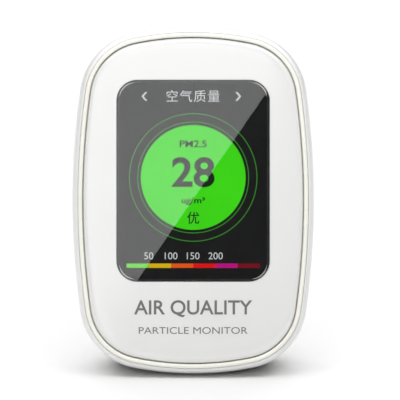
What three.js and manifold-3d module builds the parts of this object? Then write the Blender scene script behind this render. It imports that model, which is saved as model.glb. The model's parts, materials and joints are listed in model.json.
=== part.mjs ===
// Desktop air quality monitor: a leaning, round-cornered body with a display in its face,
// a laser particle sensor and a battery inside, and one push button on top.
//
// Millimetres, +Z up, display towards -Y. The body is drawn upright and then leaned back:
// X runs across the face, Y is the depth behind the face plane, Z runs up the face from its
// middle. The origin of the finished part is the middle of its footprint, on the table.

import * as THREE from 'three';
import { mergeVertices } from 'three/addons/utils/BufferGeometryUtils.js';
import Module from 'manifold-3d';

const wasm = await Module();
wasm.setup();

// ---------------------------------------------------------------- driving dimensions

const LEAN = THREE.MathUtils.degToRad(10);   // how far the body leans back

// Face outline: two long side arcs and two top and bottom arcs, joined by four corner arcs.
const FACE_HALF_WIDTH = 32.5;
const FACE_HALF_HEIGHT = 48;
const SIDE_ARC_RADIUS = 231;
const TOP_ARC_RADIUS = 84.7;
const CORNER_ARC_RADIUS = 16.7;
const OUTLINE_SEGMENTS = 48;

// Body
const BODY_DEPTH = 38;
const WALL = 2;               // the flat back's wall
const RIM_LIP = 0.1;          // flat front edge of the rear shell, round its room
const BULGE = 3.2;            // the rear shell's widest line, outside the face outline
const RIM_DEPTH = 1;          // depth of the rear shell's front edge
const WIDEST_DEPTH = 8;       // depth where the rear shell is first at its widest
const BACK_CURVE_LENGTH = 24; // the rear shell closes in over this depth, up to its flat back
const BACK_INSET = 14;        // the flat back, inside the face outline
const BACK_FULLNESS = 0.8;    // 1 is an ellipse, less is squarer

// Fits
const SEAT_GAP = 0.3;         // between two pieces that rest on each other
const SIDE_GAP = 0.1;         // between a piece and the opening it sits in
const THREAD_GAP = 0.15;      // between a screw and its hole
const SHAFT_GAP = 0.08;       // between the fan's shaft and its bore

// Front panel, lens and trim ring
const PANEL_THICKNESS = 2.2;
const PANEL_CROWN = 0.9;      // how far the panel's edge falls back
const PANEL_CROWN_WIDTH = 5;
const PANEL_EDGE_GAP = 0.25;  // panel edge to face outline
const WINDOW_WIDTH = 45.2;
const WINDOW_HEIGHT = 59.5;
const WINDOW_RADIUS = 6.2;
const WINDOW_RISE = 5.8;      // window centre above the face's middle
const WINDOW_LEDGE = 0.8;     // width of the ledge that carries the lens
const LENS_THICKNESS = 1.2;
const RING_START = 0.15;      // the trim ring's inner edge, outside the face outline
const RING_WIDTH = 1.25;
const RING_FOOT = 1.5;        // the ring's foot reaches this far under the panel
const RING_FOOT_THICKNESS = 1.5;
const RING_CREST = 0.15;      // the ring's highest line, behind the face plane
const RING_ROUNDING = 0.12;
const RING_SHOULDER = 0.75;   // where the ring's rounded top meets its sides

// Display stack
const LCD_WIDTH = 50;
const LCD_HEIGHT = 66;
const LCD_GLASS_THICKNESS = 1.2;
const LCD_DROP = 1;           // display centre below the window's centre
const LCD_CORNER_RADIUS = 1;
const BACKLIGHT_INSET = 0.4;
const BACKLIGHT_THICKNESS = 1.8;
const GASKET_THICKNESS = 0.5;
const GASKET_INSET = 0.8;     // gasket inside the display's outline
const GASKET_OVERLAP = 0.5;   // gasket inside the window's outline
const PAN_SHEET = 0.4;

// Chassis and main board
const CHASSIS_FLOOR = 1.2;
const CHASSIS_EDGE_GAP = 0.3;
const CHASSIS_SHELF_SIDE = 7; // shelf under the display, at its sides
const CHASSIS_SHELF_END = 6;  // and at its ends
const BOARD_POST_RADIUS = 2.4;
const CASE_POST_RADIUS = 3;
const BOARD_STANDOFF = 1.4;
const BOARD_THICKNESS = 1.2;
const BOARD_EDGE_INSET = 4;   // the board's sides, inside the face outline
const BOARD_HALF_HEIGHT = 29.5;
const BOARD_TONGUE_HALF_WIDTH = 18.5;
const BOARD_TOP_DROP = 1;     // top of the board below the switch
const BOARD_BOTTOM_INSET = 9; // bottom of the board inside the face outline
const COMPONENT_ROOM = 2.4;   // between the board and what lies behind it

// Components on the main board: sizes, and centres from the face's middle
const CONTROLLER = { size: 10, thickness: 1.2, x: -8, z: 6 };
const RADIO = { width: 13, height: 11.5, thickness: 0.8, x: -10.5, drop: 6.5 };
const RADIO_SHIELD = { width: 11, height: 8, thickness: 2, drop: 1 };
const BUZZER = { radius: 4.5, height: 2.2, hole: 0.8, x: 11, drop: 6.5 };
const BATTERY_CONNECTOR = { width: 6, height: 4.5, thickness: 2, x: 14, z: -2 };
const CLIMATE_SENSOR = { size: 3, thickness: 1.1, inset: 3, z: -11 };
const GAS_SENSOR = { radius: 2.9, height: 3, mouth: 1.6, lip: 0.5, inset: 3.4, z: -13 };
const RIBBON = { width: 16, thickness: 0.25, high: -8, length: 14, flat: 4, bend: 8 };

// Screws
const CASE_SCREW_RADIUS = 1.1;
const CASE_SCREW_HEAD_RADIUS = 2.2;
const CASE_SCREW_HEAD_HEIGHT = 1.6;
const CASE_SCREW_INSET = 4;   // screw axis inside the face outline
const CASE_SCREW_ANGLE = THREE.MathUtils.degToRad(52);
const WELL_RADIUS = 2.6;
const WELL_FLOOR_DEPTH = 19;
const WELL_FLOOR_THICKNESS = 2.6;
const BOSS_WALL = 1.5;
const BOARD_SCREW_RADIUS = 0.9;
const BOARD_SCREW_HEAD_RADIUS = 1.8;
const BOARD_SCREW_HEAD_HEIGHT = 1.1;
const CASE_SCREW_LENGTH = 9;
const BOARD_SCREW_LENGTH = 3.6;
const BOARD_SCREW_SIDE_INSET = 3.5;
const BOARD_SCREW_END_INSET = 2.5;
const SCREW_SLOT_WIDTH = 0.5;

// Button and its switch
const BUTTON_LENGTH = 14;
const BUTTON_WIDTH = 5;
const BUTTON_RECESS = 0.4;
const BUTTON_GAP = 0.2;
const BUTTON_FLANGE = 1.2;
const BUTTON_FLANGE_THICKNESS = 1;
const SWITCH_WIDTH = 6;
const SWITCH_DEPTH = 3.6;
const SWITCH_HEIGHT = 3.4;
const PLUNGER_REACH = 1.6;    // how far the plunger stands out of the switch
const PLUNGER_SEAT = 1;       // how far it stands in the switch
const PLUNGER_BORE_ROOM = 0.8;
const PLUNGER_WIDTH = 2.6;
const PLUNGER_DEPTH = 1.6;
const PLUNGER_GAP = 0.2;
const PLUNGER_RADIUS = 0.3;

// Base and feet
const FOOT_PROUD = 0.8;
const FOOT_THICKNESS = 1.6;
const FOOT_LENGTH = 18;
const FOOT_WIDTH = 6;
const FOOT_SPACING = 20;
const FOOT_START = 5;         // front end of the feet, behind the base's first depth
const BASE_START_DEPTH = 8;   // where the table plane passes just under the body
const BASE_WALL = 2.8;
const TABLE_CLEARANCE = 0.1;  // body to table at that depth

// Particle sensor, fan and battery
const SENSOR_WIDTH = 46;
const SENSOR_HEIGHT = 37;
const SENSOR_RISE = 12;
const SENSOR_WALL = 1.5;
const SENSOR_LID_THICKNESS = 1.2;
const SENSOR_LID_RADIUS = 5;  // rounded corners of the lid and seal, inside the back's curve
const SEAL_THICKNESS = 1.2;
const SEAL_WIDTH = 3;
const SEAL_INSET = 1;         // seal inside the sensor's sides
const MESH_THICKNESS = 0.4;
const MESH_MARGIN = 0.8;      // mesh outside the vents
const INLET = { width: 9, height: 3, x: 11.5, pitch: 6, rows: [-1, 0, 1] };
const SENSOR_BOARD_THICKNESS = 1;
const LASER_RADIUS = 1.65;
const LASER_LENGTH = 11;
const PHOTODIODE = { size: 3.4, thickness: 1.4, x: -4 };
const FAN_SIZE = 23;
const FAN_THICKNESS = 8;
const FAN_BORE_RADIUS = 10.6;
const FAN_TIP_GAP = 0.5;
const FAN_HUB_RADIUS = 4.5;
const FAN_SHAFT_RADIUS = 0.75;
const FAN_BLADES = 9;
const FAN_SHIFT = 9.5;        // fan axis beside the middle
const FAN_CORNER_RADIUS = 2;
const FAN_FRONT_ROOM = 0.4;   // between the fan's spider and its wheel
const FAN_BACK_ROOM = 0.6;    // between the wheel and the fan's back
const FAN_HUB_SKIN = 1.2;     // hub left behind the shaft's bore
const SPIDER_THICKNESS = 1;
const SPIDER_WIDTH = 1.6;
const SPIDER_ARMS = 3;
const BLADE_THICKNESS = 0.8;
const BLADE_PITCH = THREE.MathUtils.degToRad(38);
const BLADE_ROOT = 0.5;       // blades start this far inside the hub
const BATTERY_WIDTH = 36;
const BATTERY_HEIGHT = 30;
const BATTERY_THICKNESS = 8;
const BATTERY_DROP = 26.5;    // battery centre below the face's middle
const BATTERY_CORNER_RADIUS = 2;
const PAD_SIDE_INSET = 2;
const PAD_END_INSET = 4;

// Vents in the back
const VENT_RADIUS = 17;
const VENT_PITCH = 3.4;
const VENT_SLOT = 1.7;
const VENT_RIB = 4;           // rib between the two halves of the grille

// Charging socket
const USB_WIDTH = 7.6;
const USB_HEIGHT = 2.8;
const USB_LENGTH = 5.6;
const USB_SHEET = 0.35;
const USB_DROP = 20;          // socket centre below the face's middle
const USB_RADIUS = 0.8;
const USB_BACK_WALL = 0.6;
const USB_OPENING_GAP = 0.5;
const TONGUE_THICKNESS = 0.7;
const TONGUE_SIDE_ROOM = 1.5;
const TONGUE_RECESS = 0.8;

// ---------------------------------------------------------------- depths, front to back

const ringFootDepth = PANEL_THICKNESS + SEAT_GAP;
const ringBackDepth = ringFootDepth + RING_FOOT_THICKNESS;
const chassisFrontDepth = ringBackDepth + SEAT_GAP;
const gasketDepth = PANEL_THICKNESS + SEAT_GAP;
const lcdDepth = gasketDepth + GASKET_THICKNESS + SEAT_GAP;
const backlightDepth = lcdDepth + LCD_GLASS_THICKNESS + SEAT_GAP;
const panFloorDepth = backlightDepth + BACKLIGHT_THICKNESS + SEAT_GAP;
const chassisFloorDepth = panFloorDepth + PAN_SHEET + SEAT_GAP;
const chassisBackDepth = chassisFloorDepth + CHASSIS_FLOOR;
const boardFrontDepth = chassisBackDepth + BOARD_STANDOFF + SEAT_GAP;
const boardBackDepth = boardFrontDepth + BOARD_THICKNESS;
const componentDepth = boardBackDepth + SEAT_GAP;
const sensorFrontDepth = componentDepth + COMPONENT_ROOM;
const backCurveDepth = BODY_DEPTH - BACK_CURVE_LENGTH;
const innerBackDepth = BODY_DEPTH - WALL;
const meshDepth = innerBackDepth - MESH_THICKNESS - 2 * SIDE_GAP - SEAT_GAP / 2;
const sealDepth = meshDepth - SEAT_GAP - SEAL_THICKNESS;
const lidDepth = sealDepth - SEAT_GAP - SENSOR_LID_THICKNESS;
const sensorBackDepth = lidDepth - SEAT_GAP;
const bossFrontDepth = WELL_FLOOR_DEPTH - WELL_FLOOR_THICKNESS;
const ringOuterOffset = RING_START + RING_WIDTH;
const shellInnerOffset = ringOuterOffset + SIDE_GAP;
const rimOffset = shellInnerOffset + RIM_LIP;
const boardHalfWidth = FACE_HALF_WIDTH - BOARD_EDGE_INSET;

// ---------------------------------------------------------------- outline and section tools

// Centre of the upper right corner arc: where the circles that carry it cross.
function cornerCentre() {
  const sideX = FACE_HALF_WIDTH - SIDE_ARC_RADIUS;
  const topZ = FACE_HALF_HEIGHT - TOP_ARC_RADIUS;
  const sideReach = SIDE_ARC_RADIUS - CORNER_ARC_RADIUS;
  const topReach = TOP_ARC_RADIUS - CORNER_ARC_RADIUS;
  const apart = Math.hypot(sideX, topZ);
  const along = (sideReach ** 2 - topReach ** 2 + apart ** 2) / (2 * apart);
  const across = Math.sqrt(sideReach ** 2 - along ** 2);
  const towards = new THREE.Vector2(-sideX, topZ).divideScalar(apart);
  const x = sideX + towards.x * along - towards.y * across;
  const z = towards.y * along + towards.x * across;
  return new THREE.Vector2(x, z);
}

const corner = cornerCentre();
const sideArcX = FACE_HALF_WIDTH - SIDE_ARC_RADIUS;
const topArcZ = FACE_HALF_HEIGHT - TOP_ARC_RADIUS;
const topArcEnd = Math.atan2(corner.x, corner.y - topArcZ);
const sideArcStart = Math.atan2(corner.x - sideArcX, corner.y);

// A point of the outline, moved outwards by offset. The angle is that of the outline's
// normal, from straight up, clockwise.
function outlinePoint(angle, offset) {
  const nx = Math.sin(angle);
  const nz = Math.cos(angle);
  const steep = Math.atan2(Math.abs(nx), Math.abs(nz));
  let centre = corner;
  let radius = CORNER_ARC_RADIUS;
  if (steep <= topArcEnd) {
    centre = new THREE.Vector2(0, topArcZ);
    radius = TOP_ARC_RADIUS;
  } else if (steep >= sideArcStart) {
    centre = new THREE.Vector2(sideArcX, 0);
    radius = SIDE_ARC_RADIUS;
  }
  const x = Math.sign(nx) * centre.x + nx * (radius + offset);
  const z = Math.sign(nz) * centre.y + nz * (radius + offset);
  return new THREE.Vector2(x, z);
}

// Where the outline, moved outwards by offset, lies on the right at a height z of the side arc.
function sideAt(z, offset) {
  return sideArcX + Math.sqrt((SIDE_ARC_RADIUS + offset) ** 2 - z ** 2);
}

const AXIS = null;

// A section of [offset, depth] points swept round the outline. A section that starts and
// ends on the axis gives a solid, and one that closes on itself gives a ring.
function sweepRound(section) {
  const points = section.map(([offset, depth]) => new THREE.Vector2(offset === AXIS ? 0 : 1, depth));
  const geometry = new THREE.LatheGeometry(points, OUTLINE_SEGMENTS);
  const position = geometry.attributes.position;
  for (let turn = 0; turn <= OUTLINE_SEGMENTS; turn++) {
    const angle = ((turn % OUTLINE_SEGMENTS) / OUTLINE_SEGMENTS) * 2 * Math.PI;
    section.forEach(([offset, depth], row) => {
      const place = offset === AXIS ? new THREE.Vector2(0, 0) : outlinePoint(angle, offset);
      position.setXYZ(turn * section.length + row, place.x, depth, place.y);
    });
  }
  return toSolid(geometry);
}

function roundedRectangle(width, height, radius) {
  const x = width / 2 - radius;
  const y = height / 2 - radius;
  const shape = new THREE.Shape();
  shape.absarc(x, y, radius, 0, Math.PI / 2);
  shape.absarc(-x, y, radius, Math.PI / 2, Math.PI);
  shape.absarc(-x, -y, radius, Math.PI, 1.5 * Math.PI);
  shape.absarc(x, -y, radius, 1.5 * Math.PI, 2 * Math.PI);
  return shape;
}

// ---------------------------------------------------------------- solids

function toSolid(geometry) {
  const bare = geometry.clone();
  bare.deleteAttribute('normal');
  bare.deleteAttribute('uv');
  const merged = mergeVertices(bare, 1e-4);
  const index = merged.index.array;
  const kept = [];
  for (let i = 0; i < index.length; i += 3) {
    const [a, b, c] = [index[i], index[i + 1], index[i + 2]];
    if (a !== b && b !== c && c !== a) kept.push(a, b, c);
  }
  const mesh = new wasm.Mesh({
    numProp: 3,
    vertProperties: new Float32Array(merged.attributes.position.array),
    triVerts: new Uint32Array(kept),
  });
  return new wasm.Manifold(mesh);
}

function toGeometry(solid) {
  const mesh = solid.getMesh();
  const geometry = new THREE.BufferGeometry();
  geometry.setAttribute('position', new THREE.BufferAttribute(mesh.vertProperties, 3));
  geometry.setIndex(new THREE.BufferAttribute(mesh.triVerts, 1));
  geometry.computeVertexNormals();
  return geometry;
}

const joined = (...solids) => solids.reduce((sum, solid) => sum.add(solid));
const cut = (solid, ...tools) => tools.reduce((left, tool) => left.subtract(tool), solid);

// A block centred at (x, z), from one depth to another.
function block(width, height, front, back, x = 0, z = 0) {
  const geometry = new THREE.BoxGeometry(width, back - front, height);
  geometry.translate(x, (front + back) / 2, z);
  return toSolid(geometry);
}

// A shape drawn in the face's plane, from one depth to another.
function plate(shape, front, back, x = 0, z = 0, arcSteps = 5) {
  const geometry = new THREE.ExtrudeGeometry(shape, {
    depth: back - front,
    bevelEnabled: false,
    curveSegments: arcSteps,
  });
  geometry.translate(0, 0, -back);
  geometry.rotateX(Math.PI / 2);
  geometry.translate(x, 0, z);
  return toSolid(geometry);
}

// A round bar along the depth.
function bar(radius, front, back, x = 0, z = 0, sides = 16) {
  const geometry = new THREE.CylinderGeometry(radius, radius, back - front, sides);
  geometry.translate(x, (front + back) / 2, z);
  return toSolid(geometry);
}

// A shape drawn in the plane of the top, from one height to another.
function upright(shape, low, high, depth) {
  const geometry = new THREE.ExtrudeGeometry(shape, {
    depth: high - low,
    bevelEnabled: false,
    curveSegments: 6,
  });
  geometry.translate(0, depth, low);
  return toSolid(geometry);
}

// A shape drawn in the plane of the side, as [depth, height], from one x to another.
function sideways(shape, left, right, depth, height) {
  const geometry = new THREE.ExtrudeGeometry(shape, {
    depth: right - left,
    bevelEnabled: false,
    curveSegments: 5,
  });
  const across = new THREE.Matrix4().makeBasis(
    new THREE.Vector3(0, 1, 0),
    new THREE.Vector3(0, 0, 1),
    new THREE.Vector3(1, 0, 0),
  );
  geometry.translate(0, 0, left);
  geometry.applyMatrix4(across);
  geometry.translate(0, depth, height);
  return toSolid(geometry);
}

// A solid drawn on the table (X across, Y to the back, Z up from the table), under the body.
const tableFrame = new THREE.Matrix4().makeRotationX(LEAN);
tableFrame.setPosition(0, BASE_START_DEPTH, -(FACE_HALF_HEIGHT + BULGE + TABLE_CLEARANCE));

function onTable(geometry) {
  return toSolid(geometry.applyMatrix4(tableFrame));
}

// ---------------------------------------------------------------- materials

const paint = (color, roughness, metalness = 0) =>
  new THREE.MeshStandardMaterial({ color, roughness, metalness });

const WHITE_GLOSS = () => paint(0xf4f4f2, 0.18);
const WHITE_SHELL = () => paint(0xececea, 0.35);
const IVORY = () => paint(0xf3f1e0, 0.3);
const SMOKED = () => paint(0x16171a, 0.06);
const WHITE_PLASTIC = () => paint(0xd9dad6, 0.6);
const BLACK_PLASTIC = () => paint(0x1c1d1f, 0.55);
const BOARD_GREEN = () => paint(0x1d5b3a, 0.5);
const STEEL = () => paint(0xb9bcc0, 0.35, 0.9);
const RUBBER = () => paint(0x8d8f92, 0.85);
const FOAM = () => paint(0x2a2a2c, 0.95);

const monitor = new THREE.Group();

function addPart(name, solid, material) {
  const mesh = new THREE.Mesh(toGeometry(solid), material);
  mesh.name = name;
  monitor.add(mesh);
  return mesh;
}

// ---------------------------------------------------------------- casing

const windowShape = (grow) => roundedRectangle(
  WINDOW_WIDTH + 2 * grow,
  WINDOW_HEIGHT + 2 * grow,
  WINDOW_RADIUS + grow,
);

function frontPanel() {
  const crown = [0.35, 0.65, 0.85, 1].map((share) => [
    -PANEL_CROWN_WIDTH + share * (PANEL_CROWN_WIDTH - PANEL_EDGE_GAP),
    PANEL_CROWN * (1 - Math.sqrt(1 - share ** 4)),
  ]);
  const body = sweepRound([
    [AXIS, 0],
    [-PANEL_CROWN_WIDTH, 0],
    ...crown,
    [-PANEL_EDGE_GAP, PANEL_THICKNESS],
    [AXIS, PANEL_THICKNESS],
  ]);
  const ledgeDepth = LENS_THICKNESS + SEAT_GAP;
  const seat = plate(windowShape(0), -1, ledgeDepth, 0, WINDOW_RISE);
  const opening = plate(windowShape(-WINDOW_LEDGE), -1, PANEL_THICKNESS + 1, 0, WINDOW_RISE);
  return cut(body, seat, opening);
}

function trimRing() {
  const middle = RING_START + RING_WIDTH / 2;
  const third = RING_WIDTH / 3;
  return sweepRound([
    [-RING_FOOT, ringFootDepth],
    [RING_START, ringFootDepth],
    [RING_START, RING_SHOULDER],
    [middle - third, RING_CREST + RING_ROUNDING],
    [middle, RING_CREST],
    [middle + third, RING_CREST + RING_ROUNDING],
    [ringOuterOffset, RING_SHOULDER],
    [ringOuterOffset, ringBackDepth],
    [-RING_FOOT, ringBackDepth],
    [-RING_FOOT, ringFootDepth],
  ]);
}

// The shell's back, from its widest line round to the flat back, and the same inside.
function backCurve(widest, flatBack, steps) {
  const points = [];
  for (let step = 0; step <= steps; step++) {
    const angle = (step / steps) * (Math.PI / 2);
    const offset = (widest + BACK_INSET) * Math.cos(angle) ** BACK_FULLNESS - BACK_INSET;
    const reach = flatBack - backCurveDepth;
    points.push([offset, backCurveDepth + reach * Math.sin(angle) ** BACK_FULLNESS]);
  }
  return points;
}

function rimCurve(steps) {
  const points = [];
  for (let step = 0; step < steps; step++) {
    const angle = (step / steps) * (Math.PI / 2);
    const offset = rimOffset + (BULGE - rimOffset) * Math.sin(angle);
    points.push([offset, WIDEST_DEPTH - (WIDEST_DEPTH - RIM_DEPTH) * Math.cos(angle)]);
  }
  return points;
}

const caseScrewPlaces = [];
for (const side of [-1, 1]) {
  for (const end of [1, -1]) {
    const place = outlinePoint(CASE_SCREW_ANGLE, -CASE_SCREW_INSET);
    caseScrewPlaces.push(new THREE.Vector2(side * place.x, end * place.y));
  }
}

function baseCut(height, startDepth) {
  const reach = 200;
  const geometry = new THREE.BoxGeometry(reach, reach, reach);
  geometry.translate(0, 0, height - reach / 2);
  const below = onTable(geometry);
  return cut(below, block(2 * reach, 2 * reach, -2 * reach, startDepth));
}

function foot(side, grow) {
  const shape = roundedRectangle(
    FOOT_WIDTH + 2 * grow,
    FOOT_LENGTH + 2 * grow,
    FOOT_WIDTH / 2 + grow - 0.01,
  );
  const geometry = new THREE.ExtrudeGeometry(shape, {
    depth: FOOT_THICKNESS + grow,
    bevelEnabled: false,
    curveSegments: 6,
  });
  geometry.translate(side * FOOT_SPACING / 2, FOOT_START + FOOT_LENGTH / 2, 0);
  return onTable(geometry);
}

function ventSlots() {
  const slots = [];
  const rows = Math.floor((VENT_RADIUS - VENT_SLOT) / VENT_PITCH);
  for (let row = -rows; row <= rows; row++) {
    const rise = row * VENT_PITCH;
    const reach = Math.sqrt(VENT_RADIUS ** 2 - rise ** 2);
    const length = reach - VENT_RIB / 2;
    for (const side of [-1, 1]) {
      const shape = roundedRectangle(length, VENT_SLOT, VENT_SLOT / 2 - 0.01);
      const x = side * (VENT_RIB / 2 + length / 2);
      const front = innerBackDepth - 1;
      slots.push(plate(shape, front, BODY_DEPTH + 1, x, SENSOR_RISE + rise, 2));
    }
  }
  return joined(...slots);
}

const buttonDepth = componentDepth + SWITCH_DEPTH / 2;
const buttonShape = (grow) => roundedRectangle(
  BUTTON_LENGTH + 2 * grow,
  BUTTON_WIDTH + 2 * grow,
  BUTTON_WIDTH / 2 + grow - 0.01,
);
const topDrop = (half) => TOP_ARC_RADIUS - Math.sqrt(TOP_ARC_RADIUS ** 2 - half ** 2);
const shellTop = FACE_HALF_HEIGHT + BULGE;
const innerTop = FACE_HALF_HEIGHT + shellInnerOffset;
const buttonTop = shellTop - BUTTON_RECESS;
const flangeTop = innerTop - topDrop(BUTTON_LENGTH / 2 + BUTTON_FLANGE) - 2 * BUTTON_GAP;
const flangeBottom = flangeTop - BUTTON_FLANGE_THICKNESS;

const usbDepth = componentDepth + USB_HEIGHT / 2;
const usbMouth = sideAt(USB_DROP, shellInnerOffset) - SEAT_GAP;
const usbShape = (grow) =>
  roundedRectangle(USB_HEIGHT + 2 * grow, USB_WIDTH + 2 * grow, USB_RADIUS + grow);

function rearShell() {
  const outside = sweepRound([
    [AXIS, RIM_DEPTH],
    ...rimCurve(5),
    ...backCurve(BULGE, BODY_DEPTH, 8),
    [AXIS, BODY_DEPTH],
  ]);
  const inside = sweepRound([
    [AXIS, RIM_DEPTH - 1],
    [shellInnerOffset, RIM_DEPTH - 1],
    ...backCurve(shellInnerOffset, innerBackDepth, 4),
    [AXIS, innerBackDepth],
  ]);
  const room = cut(inside, baseCut(FOOT_PROUD + BASE_WALL, chassisBackDepth + SEAT_GAP));
  let shell = cut(outside, room);
  for (const place of caseScrewPlaces) {
    const boss = bar(WELL_RADIUS + BOSS_WALL, bossFrontDepth, BODY_DEPTH, place.x, place.y);
    shell = shell.add(boss.intersect(outside));
    shell = cut(
      shell,
      bar(WELL_RADIUS, WELL_FLOOR_DEPTH, BODY_DEPTH + 1, place.x, place.y),
      bar(CASE_SCREW_RADIUS + THREAD_GAP, bossFrontDepth - 1, WELL_FLOOR_DEPTH + 1, place.x, place.y),
    );
  }
  return cut(
    shell,
    baseCut(FOOT_PROUD, -1),
    foot(-1, SIDE_GAP),
    foot(1, SIDE_GAP),
    ventSlots(),
    upright(buttonShape(BUTTON_GAP), innerTop - 3, shellTop + 1, buttonDepth),
    sideways(usbShape(USB_OPENING_GAP), usbMouth - 1, usbMouth + 2 * BULGE, usbDepth, -USB_DROP),
  );
}

addPart('rear_shell', rearShell(), WHITE_SHELL());
addPart('front_panel', frontPanel(), WHITE_GLOSS());
addPart('trim_ring', trimRing(), IVORY());
addPart('display_lens', plate(windowShape(-SIDE_GAP), 0, LENS_THICKNESS, 0, WINDOW_RISE), SMOKED());
addPart('foot_left', foot(-1, 0), RUBBER());
addPart('foot_right', foot(1, 0), RUBBER());

// ---------------------------------------------------------------- button and switch

const powerButton = joined(
  upright(buttonShape(0), flangeTop - SIDE_GAP, buttonTop, buttonDepth),
  upright(buttonShape(BUTTON_FLANGE), flangeBottom, flangeTop, buttonDepth),
);
addPart('power_button', powerButton, WHITE_SHELL());

const plungerShape = (grow) => roundedRectangle(
  PLUNGER_WIDTH + 2 * grow,
  PLUNGER_DEPTH + 2 * grow,
  PLUNGER_RADIUS,
);
const plungerTop = flangeBottom - SEAT_GAP;
const switchTop = plungerTop - PLUNGER_REACH;
const switchBottom = switchTop - SWITCH_HEIGHT;
const plungerBottom = switchTop - PLUNGER_SEAT;
addPart('switch_plunger', upright(plungerShape(0), plungerBottom, plungerTop, buttonDepth), BLACK_PLASTIC());

const switchBody = block(SWITCH_WIDTH, SWITCH_HEIGHT, componentDepth, componentDepth + SWITCH_DEPTH, 0,
  (switchTop + switchBottom) / 2);
const boreBottom = plungerBottom - PLUNGER_BORE_ROOM;
const plungerBore = upright(plungerShape(PLUNGER_GAP), boreBottom, switchTop + 1, buttonDepth);
addPart('power_switch', cut(switchBody, plungerBore), BLACK_PLASTIC());

// ---------------------------------------------------------------- display stack

const lcdShape = (grow) => roundedRectangle(
  LCD_WIDTH + 2 * grow,
  LCD_HEIGHT + 2 * grow,
  LCD_CORNER_RADIUS + grow,
);
const lcdRise = WINDOW_RISE - LCD_DROP;

const gasketBody = plate(lcdShape(-GASKET_INSET), gasketDepth, gasketDepth + GASKET_THICKNESS, 0, lcdRise);
const gasketOpening = plate(windowShape(-GASKET_OVERLAP), gasketDepth - 1, lcdDepth + 1, 0, WINDOW_RISE);
addPart('lens_gasket', cut(gasketBody, gasketOpening), FOAM());

const lcdPanel = plate(lcdShape(0), lcdDepth, lcdDepth + LCD_GLASS_THICKNESS, 0, lcdRise);
addPart('lcd_panel', lcdPanel, paint(0x24282c, 0.15));

const backlightBack = backlightDepth + BACKLIGHT_THICKNESS;
const backlight = plate(lcdShape(-BACKLIGHT_INSET), backlightDepth, backlightBack, 0, lcdRise);
addPart('lcd_backlight', backlight, paint(0xe8ecef, 0.4));

const panOuter = plate(lcdShape(SEAT_GAP + PAN_SHEET), lcdDepth, panFloorDepth + PAN_SHEET, 0, lcdRise);
const panInner = plate(lcdShape(SEAT_GAP), lcdDepth - 1, panFloorDepth, 0, lcdRise);
addPart('lcd_frame', cut(panOuter, panInner), STEEL());

// ---------------------------------------------------------------- chassis

const boardScrewPlaces = [];
for (const side of [-1, 1]) {
  for (const end of [1, -1]) {
    const x = side * (boardHalfWidth - BOARD_SCREW_SIDE_INSET);
    const z = end * (BOARD_HALF_HEIGHT - BOARD_SCREW_END_INSET);
    boardScrewPlaces.push(new THREE.Vector2(x, z));
  }
}

function chassis() {
  const edge = shellInnerOffset - CHASSIS_EDGE_GAP;
  let body = sweepRound([
    [AXIS, chassisFrontDepth],
    [edge, chassisFrontDepth],
    [edge, chassisBackDepth],
    [AXIS, chassisBackDepth],
  ]);
  const pocketShape = lcdShape(2 * SEAT_GAP + PAN_SHEET);
  const opening = roundedRectangle(
    LCD_WIDTH - 2 * CHASSIS_SHELF_SIDE,
    LCD_HEIGHT - 2 * CHASSIS_SHELF_END,
    CASE_POST_RADIUS,
  );
  body = cut(
    body,
    plate(pocketShape, chassisFrontDepth - 1, chassisFloorDepth, 0, lcdRise),
    plate(opening, chassisFloorDepth - 1, chassisBackDepth + 1, 0, lcdRise),
  );
  for (const place of boardScrewPlaces) {
    const root = chassisBackDepth - CHASSIS_FLOOR / 2;
    const hole = BOARD_SCREW_RADIUS + THREAD_GAP;
    body = body.add(bar(BOARD_POST_RADIUS, root, boardFrontDepth - SEAT_GAP, place.x, place.y));
    body = cut(body, bar(hole, chassisFloorDepth - 1, boardFrontDepth, place.x, place.y));
  }
  for (const place of caseScrewPlaces) {
    const root = chassisBackDepth - CHASSIS_FLOOR / 2;
    const hole = CASE_SCREW_RADIUS + THREAD_GAP;
    body = body.add(bar(CASE_POST_RADIUS, root, bossFrontDepth - SEAT_GAP, place.x, place.y));
    body = cut(body, bar(hole, chassisFloorDepth - 1, bossFrontDepth, place.x, place.y));
  }
  return body;
}

addPart('chassis', chassis(), WHITE_PLASTIC());

// ---------------------------------------------------------------- main board

const boardTop = switchTop - BOARD_TOP_DROP;
const boardBottom = -(FACE_HALF_HEIGHT - BOARD_BOTTOM_INSET);

function mainBoard() {
  const wide = block(2 * boardHalfWidth, 2 * BOARD_HALF_HEIGHT, boardFrontDepth, boardBackDepth);
  const tall = boardTop - boardBottom;
  const rise = (boardTop + boardBottom) / 2;
  const tongue = block(2 * BOARD_TONGUE_HALF_WIDTH, tall, boardFrontDepth, boardBackDepth, 0, rise);
  const holes = boardScrewPlaces.map((place) =>
    bar(BOARD_SCREW_RADIUS + THREAD_GAP, boardFrontDepth - 1, boardBackDepth + 1, place.x, place.y));
  return cut(joined(wide, tongue), ...holes);
}

addPart('main_board', mainBoard(), BOARD_GREEN());

const onBoard = (width, height, thickness, x, z, lift = 0) =>
  block(width, height, componentDepth + lift, componentDepth + lift + thickness, x, z);

const controllerBody = onBoard(
  CONTROLLER.size,
  CONTROLLER.size,
  CONTROLLER.thickness,
  CONTROLLER.x,
  CONTROLLER.z,
);
addPart('microcontroller', controllerBody, BLACK_PLASTIC());

const radioRise = boardTop - RADIO.drop;
const radioBody = onBoard(RADIO.width, RADIO.height, RADIO.thickness, RADIO.x, radioRise);
addPart('radio_module', radioBody, BOARD_GREEN());
const shieldBody = onBoard(
  RADIO_SHIELD.width,
  RADIO_SHIELD.height,
  RADIO_SHIELD.thickness,
  RADIO.x,
  radioRise - RADIO_SHIELD.drop,
  RADIO.thickness + SEAT_GAP,
);
addPart('radio_shield', shieldBody, STEEL());

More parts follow.
